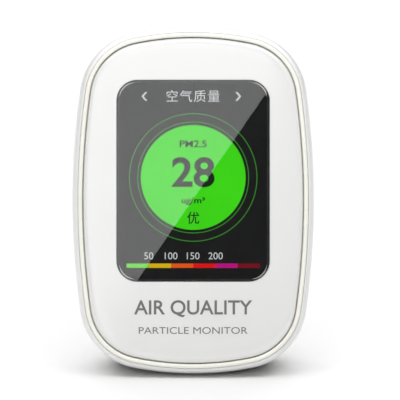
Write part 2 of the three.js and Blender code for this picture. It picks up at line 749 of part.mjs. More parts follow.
const buzzerRise = boardTop - BUZZER.drop;
const buzzerBack = componentDepth + BUZZER.height;
const buzzerBody = bar(BUZZER.radius, componentDepth, buzzerBack, BUZZER.x, buzzerRise, 24);
const buzzerHole = bar(BUZZER.hole, componentDepth + 1, buzzerBack + 1, BUZZER.x, buzzerRise, 12);
addPart('buzzer', cut(buzzerBody, buzzerHole), BLACK_PLASTIC());

const connectorBody = onBoard(
  BATTERY_CONNECTOR.width,
  BATTERY_CONNECTOR.height,
  BATTERY_CONNECTOR.thickness,
  BATTERY_CONNECTOR.x,
  BATTERY_CONNECTOR.z,
);
addPart('battery_connector', connectorBody, WHITE_PLASTIC());

const climateBody = onBoard(
  CLIMATE_SENSOR.size,
  CLIMATE_SENSOR.size,
  CLIMATE_SENSOR.thickness,
  boardHalfWidth - CLIMATE_SENSOR.inset,
  CLIMATE_SENSOR.z,
);
addPart('climate_sensor', climateBody, BLACK_PLASTIC());

const gasX = -(boardHalfWidth - GAS_SENSOR.inset);
const gasBack = componentDepth + GAS_SENSOR.height;
const gasCan = bar(GAS_SENSOR.radius, componentDepth, gasBack, gasX, GAS_SENSOR.z, 24);
const gasMouth = bar(GAS_SENSOR.mouth, gasBack - GAS_SENSOR.lip, gasBack + 1, gasX, GAS_SENSOR.z);
addPart('gas_sensor', cut(gasCan, gasMouth), STEEL());

const usbInnerEnd = usbMouth - USB_LENGTH + USB_BACK_WALL;

function usbSocket() {
  const tube = sideways(usbShape(0), usbMouth - USB_LENGTH, usbMouth, usbDepth, -USB_DROP);
  const hollow = sideways(usbShape(-USB_SHEET), usbInnerEnd, usbMouth + 1, usbDepth, -USB_DROP);
  return cut(tube, hollow);
}

addPart('usb_socket', usbSocket(), STEEL());
const tongueShape = roundedRectangle(TONGUE_THICKNESS, USB_WIDTH - 2 * TONGUE_SIDE_ROOM, SIDE_GAP);
const tongueBody = sideways(
  tongueShape,
  usbInnerEnd + SEAT_GAP,
  usbMouth - TONGUE_RECESS,
  usbDepth,
  -USB_DROP,
);
addPart('usb_tongue', tongueBody, BLACK_PLASTIC());

// The ribbon leaves the back of the display, steps through the chassis and meets the board.
function displayRibbon() {
  const front = chassisFloorDepth + SIDE_GAP;
  const back = boardFrontDepth - SEAT_GAP - RIBBON.thickness;
  const low = RIBBON.high - RIBBON.length;
  const bend = new THREE.CubicBezierCurve(
    new THREE.Vector2(front, RIBBON.high - RIBBON.flat),
    new THREE.Vector2(front, RIBBON.high - RIBBON.bend),
    new THREE.Vector2(back, low + RIBBON.bend),
    new THREE.Vector2(back, low + RIBBON.flat),
  );
  const face = [new THREE.Vector2(front, RIBBON.high), ...bend.getPoints(8), new THREE.Vector2(back, low)];
  const rear = face.map((point) => new THREE.Vector2(point.x + RIBBON.thickness, point.y)).reverse();
  return sideways(new THREE.Shape([...face, ...rear]), -RIBBON.width / 2, RIBBON.width / 2, 0, 0);
}

addPart('display_ribbon', displayRibbon(), paint(0xc78a3a, 0.5));

// ---------------------------------------------------------------- battery

const batteryPadBack = sensorFrontDepth;
const batteryFront = batteryPadBack + SEAT_GAP;
const batteryShape = roundedRectangle(BATTERY_WIDTH, BATTERY_HEIGHT, BATTERY_CORNER_RADIUS);
const padShape = roundedRectangle(
  BATTERY_WIDTH - 2 * PAD_SIDE_INSET,
  BATTERY_HEIGHT - 2 * PAD_END_INSET,
  BATTERY_CORNER_RADIUS / 2,
);
addPart('battery_pad', plate(padShape, componentDepth, batteryPadBack, 0, -BATTERY_DROP), FOAM());
const batteryCell = plate(batteryShape, batteryFront, batteryFront + BATTERY_THICKNESS, 0, -BATTERY_DROP);
addPart('battery_cell', batteryCell, paint(0xaeb4bc, 0.4, 0.3));

// ---------------------------------------------------------------- particle sensor

const sensorBox = (shrink, front, back) => block(
  SENSOR_WIDTH - 2 * shrink,
  SENSOR_HEIGHT - 2 * shrink,
  front,
  back,
  0,
  SENSOR_RISE,
);
const sensorCover = (shrink, front, back) => plate(
  roundedRectangle(SENSOR_WIDTH - 2 * shrink, SENSOR_HEIGHT - 2 * shrink, SENSOR_LID_RADIUS - shrink),
  front,
  back,
  0,
  SENSOR_RISE,
);
const sensorFloorBack = sensorFrontDepth + SENSOR_WALL;
const fanX = -FAN_SHIFT;
const fanBack = sensorBackDepth - SEAT_GAP;
const fanFront = fanBack - FAN_THICKNESS;

const sensorTub = cut(
  sensorBox(0, sensorFrontDepth, sensorBackDepth),
  sensorBox(SENSOR_WALL, sensorFloorBack, sensorBackDepth + 1),
);
addPart('sensor_housing', sensorTub, STEEL());

function sensorLid() {
  const lidBack = lidDepth + SENSOR_LID_THICKNESS;
  const outlet = bar(FAN_BORE_RADIUS - 1, lidDepth - 1, lidBack + 1, fanX, SENSOR_RISE, 32);
  const slot = roundedRectangle(INLET.width, INLET.height, INLET.height / 2 - SIDE_GAP);
  const inlets = INLET.rows.map((row) =>
    plate(slot, lidDepth - 1, lidBack + 1, INLET.x, SENSOR_RISE + INLET.pitch * row));
  return cut(sensorCover(0, lidDepth, lidBack), outlet, ...inlets);
}

addPart('sensor_lid', sensorLid(), STEEL());

const sensorBoardFront = sensorFloorBack + SEAT_GAP;
const sensorBoardBack = sensorBoardFront + SENSOR_BOARD_THICKNESS;
const sensorBoard = sensorBox(SENSOR_WALL + SEAT_GAP, sensorBoardFront, sensorBoardBack);
addPart('sensor_board', sensorBoard, BOARD_GREEN());

// The laser lies along the bottom of the sensor and shines across at the photodiode.
const beamRise = SENSOR_RISE - SENSOR_HEIGHT / 3;
const laserGeometry = new THREE.CylinderGeometry(LASER_RADIUS, LASER_RADIUS, LASER_LENGTH, 16);
laserGeometry.rotateZ(Math.PI / 2);
laserGeometry.translate(LASER_LENGTH, sensorBoardBack + SEAT_GAP + LASER_RADIUS, beamRise);
addPart('laser_diode', toSolid(laserGeometry), paint(0xc9a24a, 0.35, 0.9));

const photodiodeFront = sensorBoardBack + SEAT_GAP;
const photodiodeBack = photodiodeFront + PHOTODIODE.thickness;
const photodiode = block(
  PHOTODIODE.size,
  PHOTODIODE.size,
  photodiodeFront,
  photodiodeBack,
  PHOTODIODE.x,
  beamRise,
);
addPart('photodiode', photodiode, BLACK_PLASTIC());

const sealRing = cut(
  sensorCover(SEAL_INSET, sealDepth, sealDepth + SEAL_THICKNESS),
  sensorCover(SEAL_INSET + SEAL_WIDTH, sealDepth - 1, sealDepth + SEAL_THICKNESS + 1),
);
addPart('sensor_seal', sealRing, FOAM());

const meshSize = 2 * (VENT_RADIUS + MESH_MARGIN);
const meshShape = roundedRectangle(meshSize, meshSize, VENT_RADIUS);
addPart('vent_mesh', plate(meshShape, meshDepth, meshDepth + MESH_THICKNESS, 0, SENSOR_RISE), STEEL());

// ---------------------------------------------------------------- fan

const spiderBack = fanFront + SPIDER_THICKNESS;

function fanFrame() {
  const square = roundedRectangle(FAN_SIZE, FAN_SIZE, FAN_CORNER_RADIUS);
  const bore = bar(FAN_BORE_RADIUS, fanFront - 1, fanBack + 1, fanX, SENSOR_RISE, 36);
  let frame = cut(plate(square, fanFront, fanBack, fanX, SENSOR_RISE), bore);
  frame = frame.add(bar(FAN_HUB_RADIUS, fanFront, spiderBack, fanX, SENSOR_RISE, 24));
  for (let arm = 0; arm < SPIDER_ARMS; arm++) {
    const length = FAN_BORE_RADIUS + SEAT_GAP;
    const geometry = new THREE.BoxGeometry(length, SPIDER_THICKNESS, SPIDER_WIDTH);
    geometry.translate(length / 2, (fanFront + spiderBack) / 2, 0);
    geometry.rotateY((arm / SPIDER_ARMS) * 2 * Math.PI);
    geometry.translate(fanX, 0, SENSOR_RISE);
    frame = frame.add(toSolid(geometry));
  }
  const shaftHole = bar(FAN_SHAFT_RADIUS + SHAFT_GAP, fanFront - 1, fanBack, fanX, SENSOR_RISE, 24);
  return cut(frame, shaftHole);
}

addPart('fan_frame', fanFrame(), BLACK_PLASTIC());

const impellerFront = spiderBack + FAN_FRONT_ROOM;
const impellerBack = fanBack - FAN_BACK_ROOM;
const shaftBack = impellerBack - FAN_HUB_SKIN;
const fanShaft = bar(FAN_SHAFT_RADIUS, fanFront, shaftBack - SEAT_GAP, fanX, SENSOR_RISE, 24);
addPart('fan_shaft', fanShaft, STEEL());

// The impeller is drawn on its own axis and then placed, so it turns about its own centre.
function fanImpeller() {
  const thickness = impellerBack - impellerFront;
  const tip = FAN_BORE_RADIUS - FAN_TIP_GAP;
  const root = FAN_HUB_RADIUS - BLADE_ROOT;
  const chord = 0.9 * (thickness - BLADE_THICKNESS) / Math.cos(BLADE_PITCH);
  let wheel = bar(FAN_HUB_RADIUS, 0, thickness, 0, 0, 24);
  for (let blade = 0; blade < FAN_BLADES; blade++) {
    const geometry = new THREE.BoxGeometry(tip - root, chord, BLADE_THICKNESS);
    geometry.rotateX(BLADE_PITCH);
    geometry.translate((tip + root) / 2, thickness / 2, 0);
    geometry.rotateY((blade / FAN_BLADES) * 2 * Math.PI);
    wheel = wheel.add(toSolid(geometry));
  }
  const envelope = bar(tip, 0, thickness, 0, 0, 36);
  const bore = bar(FAN_SHAFT_RADIUS + SHAFT_GAP, -1, shaftBack - impellerFront, 0, 0, 24);
  return cut(wheel.intersect(envelope), bore);
}

const impeller = addPart('fan_impeller', fanImpeller(), BLACK_PLASTIC());
impeller.position.set(fanX, impellerFront, SENSOR_RISE);

// ---------------------------------------------------------------- screws

// A pan head screw: the head's underside at one depth, the point further forward.
function screw(radius, headRadius, headHeight, seatDepth, length, place) {
  const head = bar(headRadius, seatDepth, seatDepth + headHeight, place.x, place.y, 14);
  const shank = bar(radius, seatDepth - length, seatDepth + headHeight / 2, place.x, place.y, 10);
  const slotFront = seatDepth + headHeight / 2;
  const slotBack = seatDepth + headHeight + 1;
  const across = headRadius * 1.2;
  const slot = block(across, SCREW_SLOT_WIDTH, slotFront, slotBack, place.x, place.y);
  const crossSlot = block(SCREW_SLOT_WIDTH, across, slotFront, slotBack, place.x, place.y);
  return cut(joined(head, shank), slot, crossSlot);
}

caseScrewPlaces.forEach((place, number) => {
  const solid = screw(CASE_SCREW_RADIUS, CASE_SCREW_HEAD_RADIUS, CASE_SCREW_HEAD_HEIGHT,
    WELL_FLOOR_DEPTH + SEAT_GAP, CASE_SCREW_LENGTH, place);
  addPart(`case_screw_${number + 1}`, solid, STEEL());
});

boardScrewPlaces.forEach((place, number) => {
  const solid = screw(BOARD_SCREW_RADIUS, BOARD_SCREW_HEAD_RADIUS, BOARD_SCREW_HEAD_HEIGHT,
    componentDepth, BOARD_SCREW_LENGTH, place);
  addPart(`board_screw_${number + 1}`, solid, STEEL());
});

// ---------------------------------------------------------------- lean and place

monitor.rotation.x = -LEAN;
monitor.updateMatrixWorld(true);
const bounds = new THREE.Box3().setFromObject(monitor, true);
const middle = bounds.getCenter(new THREE.Vector3());
monitor.position.set(-middle.x, -middle.y, -bounds.min.z);

export default monitor;
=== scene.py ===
import json
import math

import bmesh
import bpy
from mathutils import Matrix, Vector


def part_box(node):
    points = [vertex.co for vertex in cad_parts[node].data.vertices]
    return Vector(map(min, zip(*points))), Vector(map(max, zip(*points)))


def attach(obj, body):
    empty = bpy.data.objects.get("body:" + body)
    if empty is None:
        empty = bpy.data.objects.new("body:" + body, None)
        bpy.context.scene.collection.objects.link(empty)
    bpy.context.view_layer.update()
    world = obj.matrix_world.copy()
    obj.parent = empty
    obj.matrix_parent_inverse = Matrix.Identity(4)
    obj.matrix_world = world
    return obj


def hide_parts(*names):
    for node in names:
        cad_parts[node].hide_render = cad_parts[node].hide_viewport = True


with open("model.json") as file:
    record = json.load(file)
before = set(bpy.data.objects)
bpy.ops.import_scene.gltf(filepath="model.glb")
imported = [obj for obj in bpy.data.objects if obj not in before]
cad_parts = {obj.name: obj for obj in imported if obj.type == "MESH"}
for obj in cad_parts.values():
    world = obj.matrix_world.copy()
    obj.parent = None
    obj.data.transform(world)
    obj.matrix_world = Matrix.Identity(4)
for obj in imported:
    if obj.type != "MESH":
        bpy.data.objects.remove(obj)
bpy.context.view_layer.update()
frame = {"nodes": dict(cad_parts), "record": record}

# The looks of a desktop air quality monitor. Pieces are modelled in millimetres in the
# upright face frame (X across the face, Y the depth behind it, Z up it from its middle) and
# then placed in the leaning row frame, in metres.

# ---------------------------------------------------------------- sizes, in millimetres

LEAN = math.radians(10)
FACE_HALF_WIDTH = 32.5
FACE_HALF_HEIGHT = 48.0
SIDE_ARC_RADIUS = 231.0
TOP_ARC_RADIUS = 84.7
CORNER_ARC_RADIUS = 16.7

BODY_DEPTH = 38.0
WALL = 2.0
RIM_LIP = 0.1
BULGE = 3.2
RIM_DEPTH = 1.0
WIDEST_DEPTH = 8.0
BACK_CURVE_LENGTH = 24.0
BACK_INSET = 14.0
BACK_FULLNESS = 0.8
SIDE_GAP = 0.1
SEAT_GAP = 0.3
ROUND_END_EASE = 0.01    # keeps a fully round end from closing on itself
SIZE_MERGE = 0.0005      # corners closer than this are one, in a section
SPIN_MERGE = 0.002       # and where one arc of the outline ends on the next
CORNER_MERGE = 0.05      # and in a rounded corner

PANEL_THICKNESS = 2.2
PANEL_CROWN = 0.9
PANEL_CROWN_WIDTH = 5.0
PANEL_EDGE_GAP = 0.25
WINDOW_WIDTH = 45.2
WINDOW_HEIGHT = 59.5
WINDOW_RADIUS = 6.2
WINDOW_RISE = 5.8
WINDOW_LEDGE = 0.8
LENS_THICKNESS = 1.2
LENS_GAP = 0.1
PRINT_GAP = 0.04
PRINT_THICKNESS = 0.06
CLEAR_WIDTH = 43.4
CLEAR_HEIGHT = 57.8
CLEAR_RADIUS = 4.2
WINDOW_STEPS = 16
RING_START = 0.15
RING_WIDTH = 1.25
RING_FOOT = 1.5
RING_FOOT_DEPTH = 2.5
RING_BACK_DEPTH = 4.0
RING_SHOULDER = 0.75
RING_CREST = 0.17
RING_FULLNESS = 0.8
INNER_OFFSET = RING_START + RING_WIDTH + SIDE_GAP
RIM_OFFSET = INNER_OFFSET + RIM_LIP
BACK_CURVE_DEPTH = BODY_DEPTH - BACK_CURVE_LENGTH
LCD_DEPTH = 3.3

BUTTON_LENGTH = 14.0
BUTTON_WIDTH = 5.0
BUTTON_GAP = 0.2
BUTTON_DEPTH = 13.8
BUTTON_TOP = 50.8
BUTTON_FLANGE = 1.2
BUTTON_FLANGE_FOOT = 47.71
BUTTON_FLANGE_TOP = 48.69
BUTTON_HOLE_FOOT = 46
BUTTON_HOLE_TOP = 55
BUTTON_DISH_RIM = 0.8
BUTTON_DISH_SLOPE = 0.5
BUTTON_DISH = 0.18

BASE_START_DEPTH = 8.0
TABLE_CLEARANCE = 0.1
FOOT_PROUD = 0.8
FOOT_THICKNESS = 1.6
FOOT_LENGTH = 18.0
FOOT_WIDTH = 6.0
FOOT_SPACING = 20.0
FOOT_START = 5.0
FOOT_POCKET_GAP = 0.1
BASE_WALL = 2.8
BELOW_BASE = -30
AHEAD_OF_FACE = -30
BEHIND_BACK = 60

SENSOR_RISE = 12.0
VENT_RADIUS = 17.0
VENT_PITCH = 3.4
VENT_SLOT = 1.7
VENT_RIB = 4.0
VENT_SLOT_START = 34
VENT_FLARE = 0.35
VENT_FLARE_PAST = 0.03

WELL_RADIUS = 2.6
WELL_FLOOR_DEPTH = 19.0
WELL_MOUTH_DEPTH = 45
BOSS_WALL = 1.5
BOSS_FRONT = 16.4
SCREW_BORE = 1.25
CASE_SCREW_INSET = 4.0
CASE_SCREW_ANGLE = math.radians(52)
SCREW_HEAD_RADIUS = 2.2
SCREW_HEAD_HEIGHT = 1.6
SCREW_HEAD_EDGE = 0.45
SCREW_SHANK_RADIUS = 1.1
SCREW_SHANK_LENGTH = 9
CROSS_LENGTH = 2.6
CROSS_WIDTH = 0.55
CROSS_FLOOR = 0.7

USB_DROP = 20.0
USB_WIDTH = 7.6
USB_HEIGHT = 2.8
USB_OPENING_EXTRA = 1
USB_OPENING_RADIUS = 1.3
USB_OPENING_START = 31
USB_OPENING_END = 38

# ---------------------------------------------------------------- frame

MM = 0.001
TILT = Matrix.Rotation(-LEAN, 4, "X")
lens_low, lens_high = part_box("display_lens")
lens_middle = TILT.to_3x3() @ Vector((0, LENS_THICKNESS / 2, WINDOW_RISE)) * MM
FACE_ORIGIN = (lens_low + lens_high) / 2 - lens_middle
TO_ROW = Matrix.Translation(FACE_ORIGIN) @ TILT @ Matrix.Scale(MM, 4)

# ---------------------------------------------------------------- outline


def corner_centre():
    """Centre of the upper right corner arc, in the face plane."""
    side_x = FACE_HALF_WIDTH - SIDE_ARC_RADIUS
    top_z = FACE_HALF_HEIGHT - TOP_ARC_RADIUS
    side_reach = SIDE_ARC_RADIUS - CORNER_ARC_RADIUS
    top_reach = TOP_ARC_RADIUS - CORNER_ARC_RADIUS
    apart = math.hypot(side_x, top_z)
    along = (side_reach ** 2 - top_reach ** 2 + apart ** 2) / (2 * apart)
    across = math.sqrt(side_reach ** 2 - along ** 2)
    toward_x, toward_z = -side_x / apart, top_z / apart
    x = side_x + toward_x * along - toward_z * across
    z = toward_z * along + toward_x * across
    return x, z


corner_x, corner_z = corner_centre()
side_arc_x = FACE_HALF_WIDTH - SIDE_ARC_RADIUS
top_arc_z = FACE_HALF_HEIGHT - TOP_ARC_RADIUS
top_arc_end = math.atan2(corner_x, corner_z - top_arc_z)
side_arc_start = math.atan2(corner_x - side_arc_x, corner_z)

# Each arc of the outline, clockwise from the top: its centre, how far it turns, its steps.
corner_turn = side_arc_start - top_arc_end
side_turn = math.pi - 2 * side_arc_start
OUTLINE_ARCS = [
    ((0, top_arc_z), top_arc_end, 14),
    ((corner_x, corner_z), corner_turn, 26),
    ((side_arc_x, 0), side_turn, 34),
    ((corner_x, -corner_z), corner_turn, 26),
    ((0, -top_arc_z), 2 * top_arc_end, 28),
    ((-corner_x, -corner_z), corner_turn, 26),
    ((-side_arc_x, 0), side_turn, 34),
    ((-corner_x, corner_z), corner_turn, 26),
    ((0, top_arc_z), top_arc_end, 14),
]


def corner_point(angle, offset):
    """A point of the upper right corner arc, moved outwards by offset."""
    reach = CORNER_ARC_RADIUS + offset
    return corner_x + reach * math.sin(angle), corner_z + reach * math.cos(angle)


# ---------------------------------------------------------------- modelling tools


def activate(piece):
    bpy.ops.object.select_all(action="DESELECT")
    piece.select_set(True)
    bpy.context.view_layer.objects.active = piece


def edit(piece):
    activate(piece)
    bpy.ops.object.mode_set(mode="EDIT")


def leave():
    """Back from edit mode to object mode."""
    bpy.ops.object.mode_set(mode="OBJECT")


def pick(piece, kind, test):
    """In edit mode, selects the vertices, edges or faces that pass the test."""
    bpy.ops.mesh.select_all(action="DESELECT")
    bpy.ops.mesh.select_mode(type={"verts": "VERT", "edges": "EDGE", "faces": "FACE"}[kind])
    mesh = bmesh.from_edit_mesh(piece.data)
    for item in getattr(mesh, kind):
        if test(item):
            item.select_set(True)
    mesh.select_flush_mode()
    bmesh.update_edit_mesh(piece.data)


def settle(piece, name):
    """Applies an object's own place to its mesh, and names it."""
    activate(piece)
    bpy.ops.object.transform_apply(location=True, rotation=True, scale=True)
    piece.name = name
    return piece


def single_point(spot):
    """A piece of one vertex, left in edit mode to be extruded."""
    bpy.ops.object.select_all(action="DESELECT")
    bpy.ops.mesh.primitive_plane_add(size=1)
    piece = bpy.context.object
    bpy.ops.object.mode_set(mode="EDIT")
    bpy.ops.mesh.select_mode(type="VERT")
    bpy.ops.mesh.select_all(action="SELECT")
    bpy.ops.mesh.merge(type="CENTER")
    bpy.ops.transform.translate(value=spot)
    return piece


def swept(name, section, closed=False):
    """A section of (offset, depth) points, spun through every arc of the outline.
    An open section's two ends are capped, a closed one makes a ring."""
    offset, depth = section[0]
    piece = single_point((0, depth, FACE_HALF_HEIGHT + offset))
    points = section[1:] + ([section[0]] if closed else [])
    for next_offset, next_depth in points:
        step = (0, next_depth - depth, next_offset - offset)
        bpy.ops.mesh.extrude_region_move(TRANSFORM_OT_translate={"value": step})
        offset, depth = next_offset, next_depth
    bpy.ops.mesh.select_all(action="SELECT")
    bpy.ops.mesh.remove_doubles(threshold=SIZE_MERGE)
    for (x, z), turn, steps in OUTLINE_ARCS:
        bpy.ops.mesh.spin(steps=steps, angle=-turn, center=(x, 0, z), axis=(0, 1, 0))
    bpy.ops.mesh.select_all(action="SELECT")
    bpy.ops.mesh.remove_doubles(threshold=SPIN_MERGE)
    if not closed:
        for end_offset, end_depth in (section[0], section[-1]):
            pick(piece, "edges", lambda edge: edge.is_boundary and all(
                abs(vertex.co.y - end_depth) < 0.001 for vertex in edge.verts))
            bpy.ops.mesh.edge_face_add()
            bpy.ops.mesh.inset(thickness=0.4, depth=0)
    bpy.ops.mesh.select_all(action="SELECT")
    bpy.ops.mesh.normals_make_consistent(inside=False)
    leave()
    piece.name = name
    return piece


def face_stand(x, depth, z):
    """Stands a flat drawing up in the face's plane, at a point and a depth."""
    return Matrix(((1, 0, 0, x), (0, 0, -1, depth), (0, 1, 0, z), (0, 0, 0, 1)))


def plate(name, width, height, radius, front, back, place=(0, 0), edge=0.0, steps=10, turn="face"):
    """A rounded rectangle drawn in the face's plane ("face"), on the top ("top") or on the
    right side ("side"), standing from one depth or height to another, with rounded edges."""
    bpy.ops.object.select_all(action="DESELECT")
    bpy.ops.mesh.primitive_plane_add(size=1)
    piece = bpy.context.object
    bpy.ops.object.mode_set(mode="EDIT")
    bpy.ops.mesh.select_all(action="SELECT")
    bpy.ops.transform.resize(value=(width, height, 1))
    if radius > 0:
        bpy.ops.mesh.bevel(offset=radius, segments=steps, affect="VERTICES")
        bpy.ops.mesh.select_all(action="SELECT")
        bpy.ops.mesh.remove_doubles(threshold=CORNER_MERGE)
    bpy.ops.mesh.select_all(action="SELECT")
    bpy.ops.mesh.extrude_region_move(TRANSFORM_OT_translate={"value": (0, 0, back - front)})
    bpy.ops.mesh.select_all(action="SELECT")
    bpy.ops.mesh.normals_make_consistent(inside=False)
    if edge > 0:
        pick(piece, "edges", lambda line: abs(line.verts[0].co.z - line.verts[1].co.z) < 1e-5)
        bpy.ops.mesh.bevel(offset=edge, segments=3, affect="EDGES")
        pick(piece, "faces", lambda face: abs(face.normal.z) > 0.999)
        bpy.ops.mesh.inset(thickness=edge, depth=0)
    leave()
    spots = {
        "face": face_stand(place[0], back, place[1]),
        "top": Matrix.Translation((place[0], place[1], front)),
        "side": Matrix(((0, 0, 1, front), (1, 0, 0, place[0]), (0, 1, 0, place[1]), (0, 0, 0, 1))),
    }
    piece.data.transform(spots[turn])
    piece.name = name
    return piece


def round_bar(name, radius, front, back, place, sides=48, edge=0.0):
    """A round bar along the depth."""
    bpy.ops.object.select_all(action="DESELECT")
    bpy.ops.mesh.primitive_cylinder_add(
        vertices=sides,
        radius=radius,
        depth=back - front,
        location=(place[0], (front + back) / 2, place[1]),
        rotation=(math.pi / 2, 0, 0),
    )
    piece = settle(bpy.context.object, name)
    if edge > 0:
        edit(piece)
        pick(piece, "edges", lambda line: abs(line.verts[0].co.y - line.verts[1].co.y) < 1e-5)
        bpy.ops.mesh.bevel(offset=edge, segments=3, affect="EDGES")
        leave()
    return piece


def table_place(x, along, up):
    """A point given on the table, in the upright face frame."""
    start = Vector((0, BASE_START_DEPTH, -(FACE_HALF_HEIGHT + BULGE + TABLE_CLEARANCE)))
    return start + Matrix.Rotation(LEAN, 3, "X") @ Vector((x, along, up))


def table_block(name, low_up, high_up, start, end, width=160.0):
    """A block whose faces are square to the table."""
    middle = table_place(0, (start + end) / 2, (low_up + high_up) / 2)
    bpy.ops.object.select_all(action="DESELECT")
    bpy.ops.mesh.primitive_cube_add(size=1, location=middle, rotation=(LEAN, 0, 0))
    block = bpy.context.object
    block.scale = (width, end - start, high_up - low_up)
    return settle(block, name)


def foot_body(name, side, grow, edge=0.0):
    """A round-ended foot standing on the table, or its pocket when grown."""
    piece = plate(
        name,
        FOOT_WIDTH + 2 * grow,
        FOOT_LENGTH + 2 * grow,
        FOOT_WIDTH / 2 + grow - ROUND_END_EASE,
        0,
        FOOT_THICKNESS + grow,
        edge=edge,
        turn="top",
    )
    middle = table_place(side * FOOT_SPACING / 2, FOOT_START + FOOT_LENGTH / 2, 0)
    piece.data.transform(Matrix.Translation(middle) @ Matrix.Rotation(LEAN, 4, "X"))
    return piece


def join(name, pieces):
    """Several pieces made one, under the first one's name."""
    bpy.ops.object.select_all(action="DESELECT")
    for piece in pieces:
        piece.select_set(True)
    bpy.context.view_layer.objects.active = pieces[0]
    bpy.ops.object.join()
    pieces[0].name = name
    return pieces[0]


def combine(piece, tool, operation="DIFFERENCE"):
    """Cuts or joins a piece with a tool, and throws the tool away."""
    activate(piece)
    change = piece.modifiers.new("change", "BOOLEAN")
    change.operation = operation
    change.solver = "MANIFOLD"
    change.object = tool
    bpy.ops.object.modifier_apply(modifier=change.name)
    bpy.data.objects.remove(tool)


def smooth(piece, degrees=32.0):
    """Smooth shading, with edges sharper than the angle left crisp."""
    activate(piece)
    bpy.ops.object.shade_smooth_by_angle(angle=math.radians(degrees))


def place(piece, material, slot, body="casing", replaces=()):
    """Moves a finished piece into the row frame and gives it its finish and its body."""
    piece.data.transform(TO_ROW)
    piece.data.materials.clear()
    piece.data.materials.append(material)
    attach(piece, body)
    if replaces:
        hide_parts(*replaces)


# ---------------------------------------------------------------- shader groups


def new_group(name, inputs, outputs):
    """A shader group with its named inputs and outputs made, and nothing between them."""
    group = bpy.data.node_groups.new(name, "ShaderNodeTree")
    for label, kind, value in inputs:
        socket = group.interface.new_socket(name=label, in_out="INPUT", socket_type=kind)
        socket.default_value = value
    for label, kind in outputs:
        group.interface.new_socket(name=label, in_out="OUTPUT", socket_type=kind)
    entry = group.nodes.new("NodeGroupInput")
    exit_node = group.nodes.new("NodeGroupOutput")
    return group, entry, exit_node


def noise(tree, coordinates, scale_socket=None, scale=10.0, detail=3.0):
    node = tree.nodes.new("ShaderNodeTexNoise")
    node.inputs["Scale"].default_value = scale
    node.inputs["Detail"].default_value = detail
    tree.links.new(coordinates, node.inputs["Vector"])
    if scale_socket is not None:
        tree.links.new(scale_socket, node.inputs["Scale"])
    return node.outputs["Fac"]


def remap(tree, value, low, high, low_socket=None, high_socket=None, start=0.3, end=0.7):
    node = tree.nodes.new("ShaderNodeMapRange")
    node.inputs["From Min"].default_value = start
    node.inputs["From Max"].default_value = end
    node.inputs["To Min"].default_value = low
    node.inputs["To Max"].default_value = high
    tree.links.new(value, node.inputs["Value"])
    if low_socket is not None:
        tree.links.new(low_socket, node.inputs["To Min"])
    if high_socket is not None:
        tree.links.new(high_socket, node.inputs["To Max"])
    return node.outputs["Result"]


def blend_colours(tree, factor, first, second):
    node = tree.nodes.new("ShaderNodeMix")
    node.data_type = "RGBA"
    tree.links.new(factor, node.inputs["Factor"])
    tree.links.new(first, node.inputs["A"])
    tree.links.new(second, node.inputs["B"])
    return node.outputs["Result"]


def moulded_group():
    """Moulded plastic: slow drift of tone, a fine spark-eroded grain, and handling smudges."""
    group, entry, out = new_group(
        "moulded_surface",
        [
            ("Tone", "NodeSocketColor", (0.9, 0.9, 0.9, 1)),
            ("Shade Tone", "NodeSocketColor", (0.85, 0.85, 0.85, 1)),
            ("Low Roughness", "NodeSocketFloat", 0.2),
            ("High Roughness", "NodeSocketFloat", 0.3),
            ("Grain Scale", "NodeSocketFloat", 4000.0),
            ("Drift Scale", "NodeSocketFloat", 40.0),
        ],
        [("Color", "NodeSocketColor"), ("Roughness", "NodeSocketFloat"), ("Height", "NodeSocketFloat")],
    )
    where = group.nodes.new("ShaderNodeTexCoord").outputs["Object"]
    drift = noise(group, where, entry.outputs["Drift Scale"], detail=2.0)
    grain = noise(group, where, entry.outputs["Grain Scale"], detail=2.0)
    smudge = noise(group, where, scale=120.0, detail=5.0)
    tone = blend_colours(group, remap(group, drift, 0, 1), entry.outputs["Tone"], entry.outputs["Shade Tone"])
    rough = remap(group, smudge, 0, 1, entry.outputs["Low Roughness"], entry.outputs["High Roughness"])
    group.links.new(tone, out.inputs["Color"])
    group.links.new(rough, out.inputs["Roughness"])
    group.links.new(grain, out.inputs["Height"])
    return group


def brushed_group():
    """Rolled sheet metal: fine streaks one way, and dull patches."""
    group, entry, out = new_group(
        "rolled_metal",
        [
            ("Tone", "NodeSocketColor", (0.7, 0.7, 0.72, 1)),
            ("Dull Tone", "NodeSocketColor", (0.5, 0.5, 0.52, 1)),
            ("Streak Scale", "NodeSocketFloat", 900.0),
        ],
        [("Color", "NodeSocketColor"), ("Roughness", "NodeSocketFloat"), ("Height", "NodeSocketFloat")],
    )
    where = group.nodes.new("ShaderNodeTexCoord").outputs["Object"]
    stretch = group.nodes.new("ShaderNodeMapping")
    stretch.inputs["Scale"].default_value = (0.05, 1, 1)
    group.links.new(where, stretch.inputs["Vector"])
    streak = noise(group, stretch.outputs["Vector"], entry.outputs["Streak Scale"], detail=4.0)
    patch = noise(group, where, scale=150.0, detail=3.0)
    tone = blend_colours(group, remap(group, patch, 0, 1), entry.outputs["Tone"], entry.outputs["Dull Tone"])
    group.links.new(tone, out.inputs["Color"])
    group.links.new(remap(group, streak, 0.22, 0.42), out.inputs["Roughness"])
    group.links.new(streak, out.inputs["Height"])
    return group


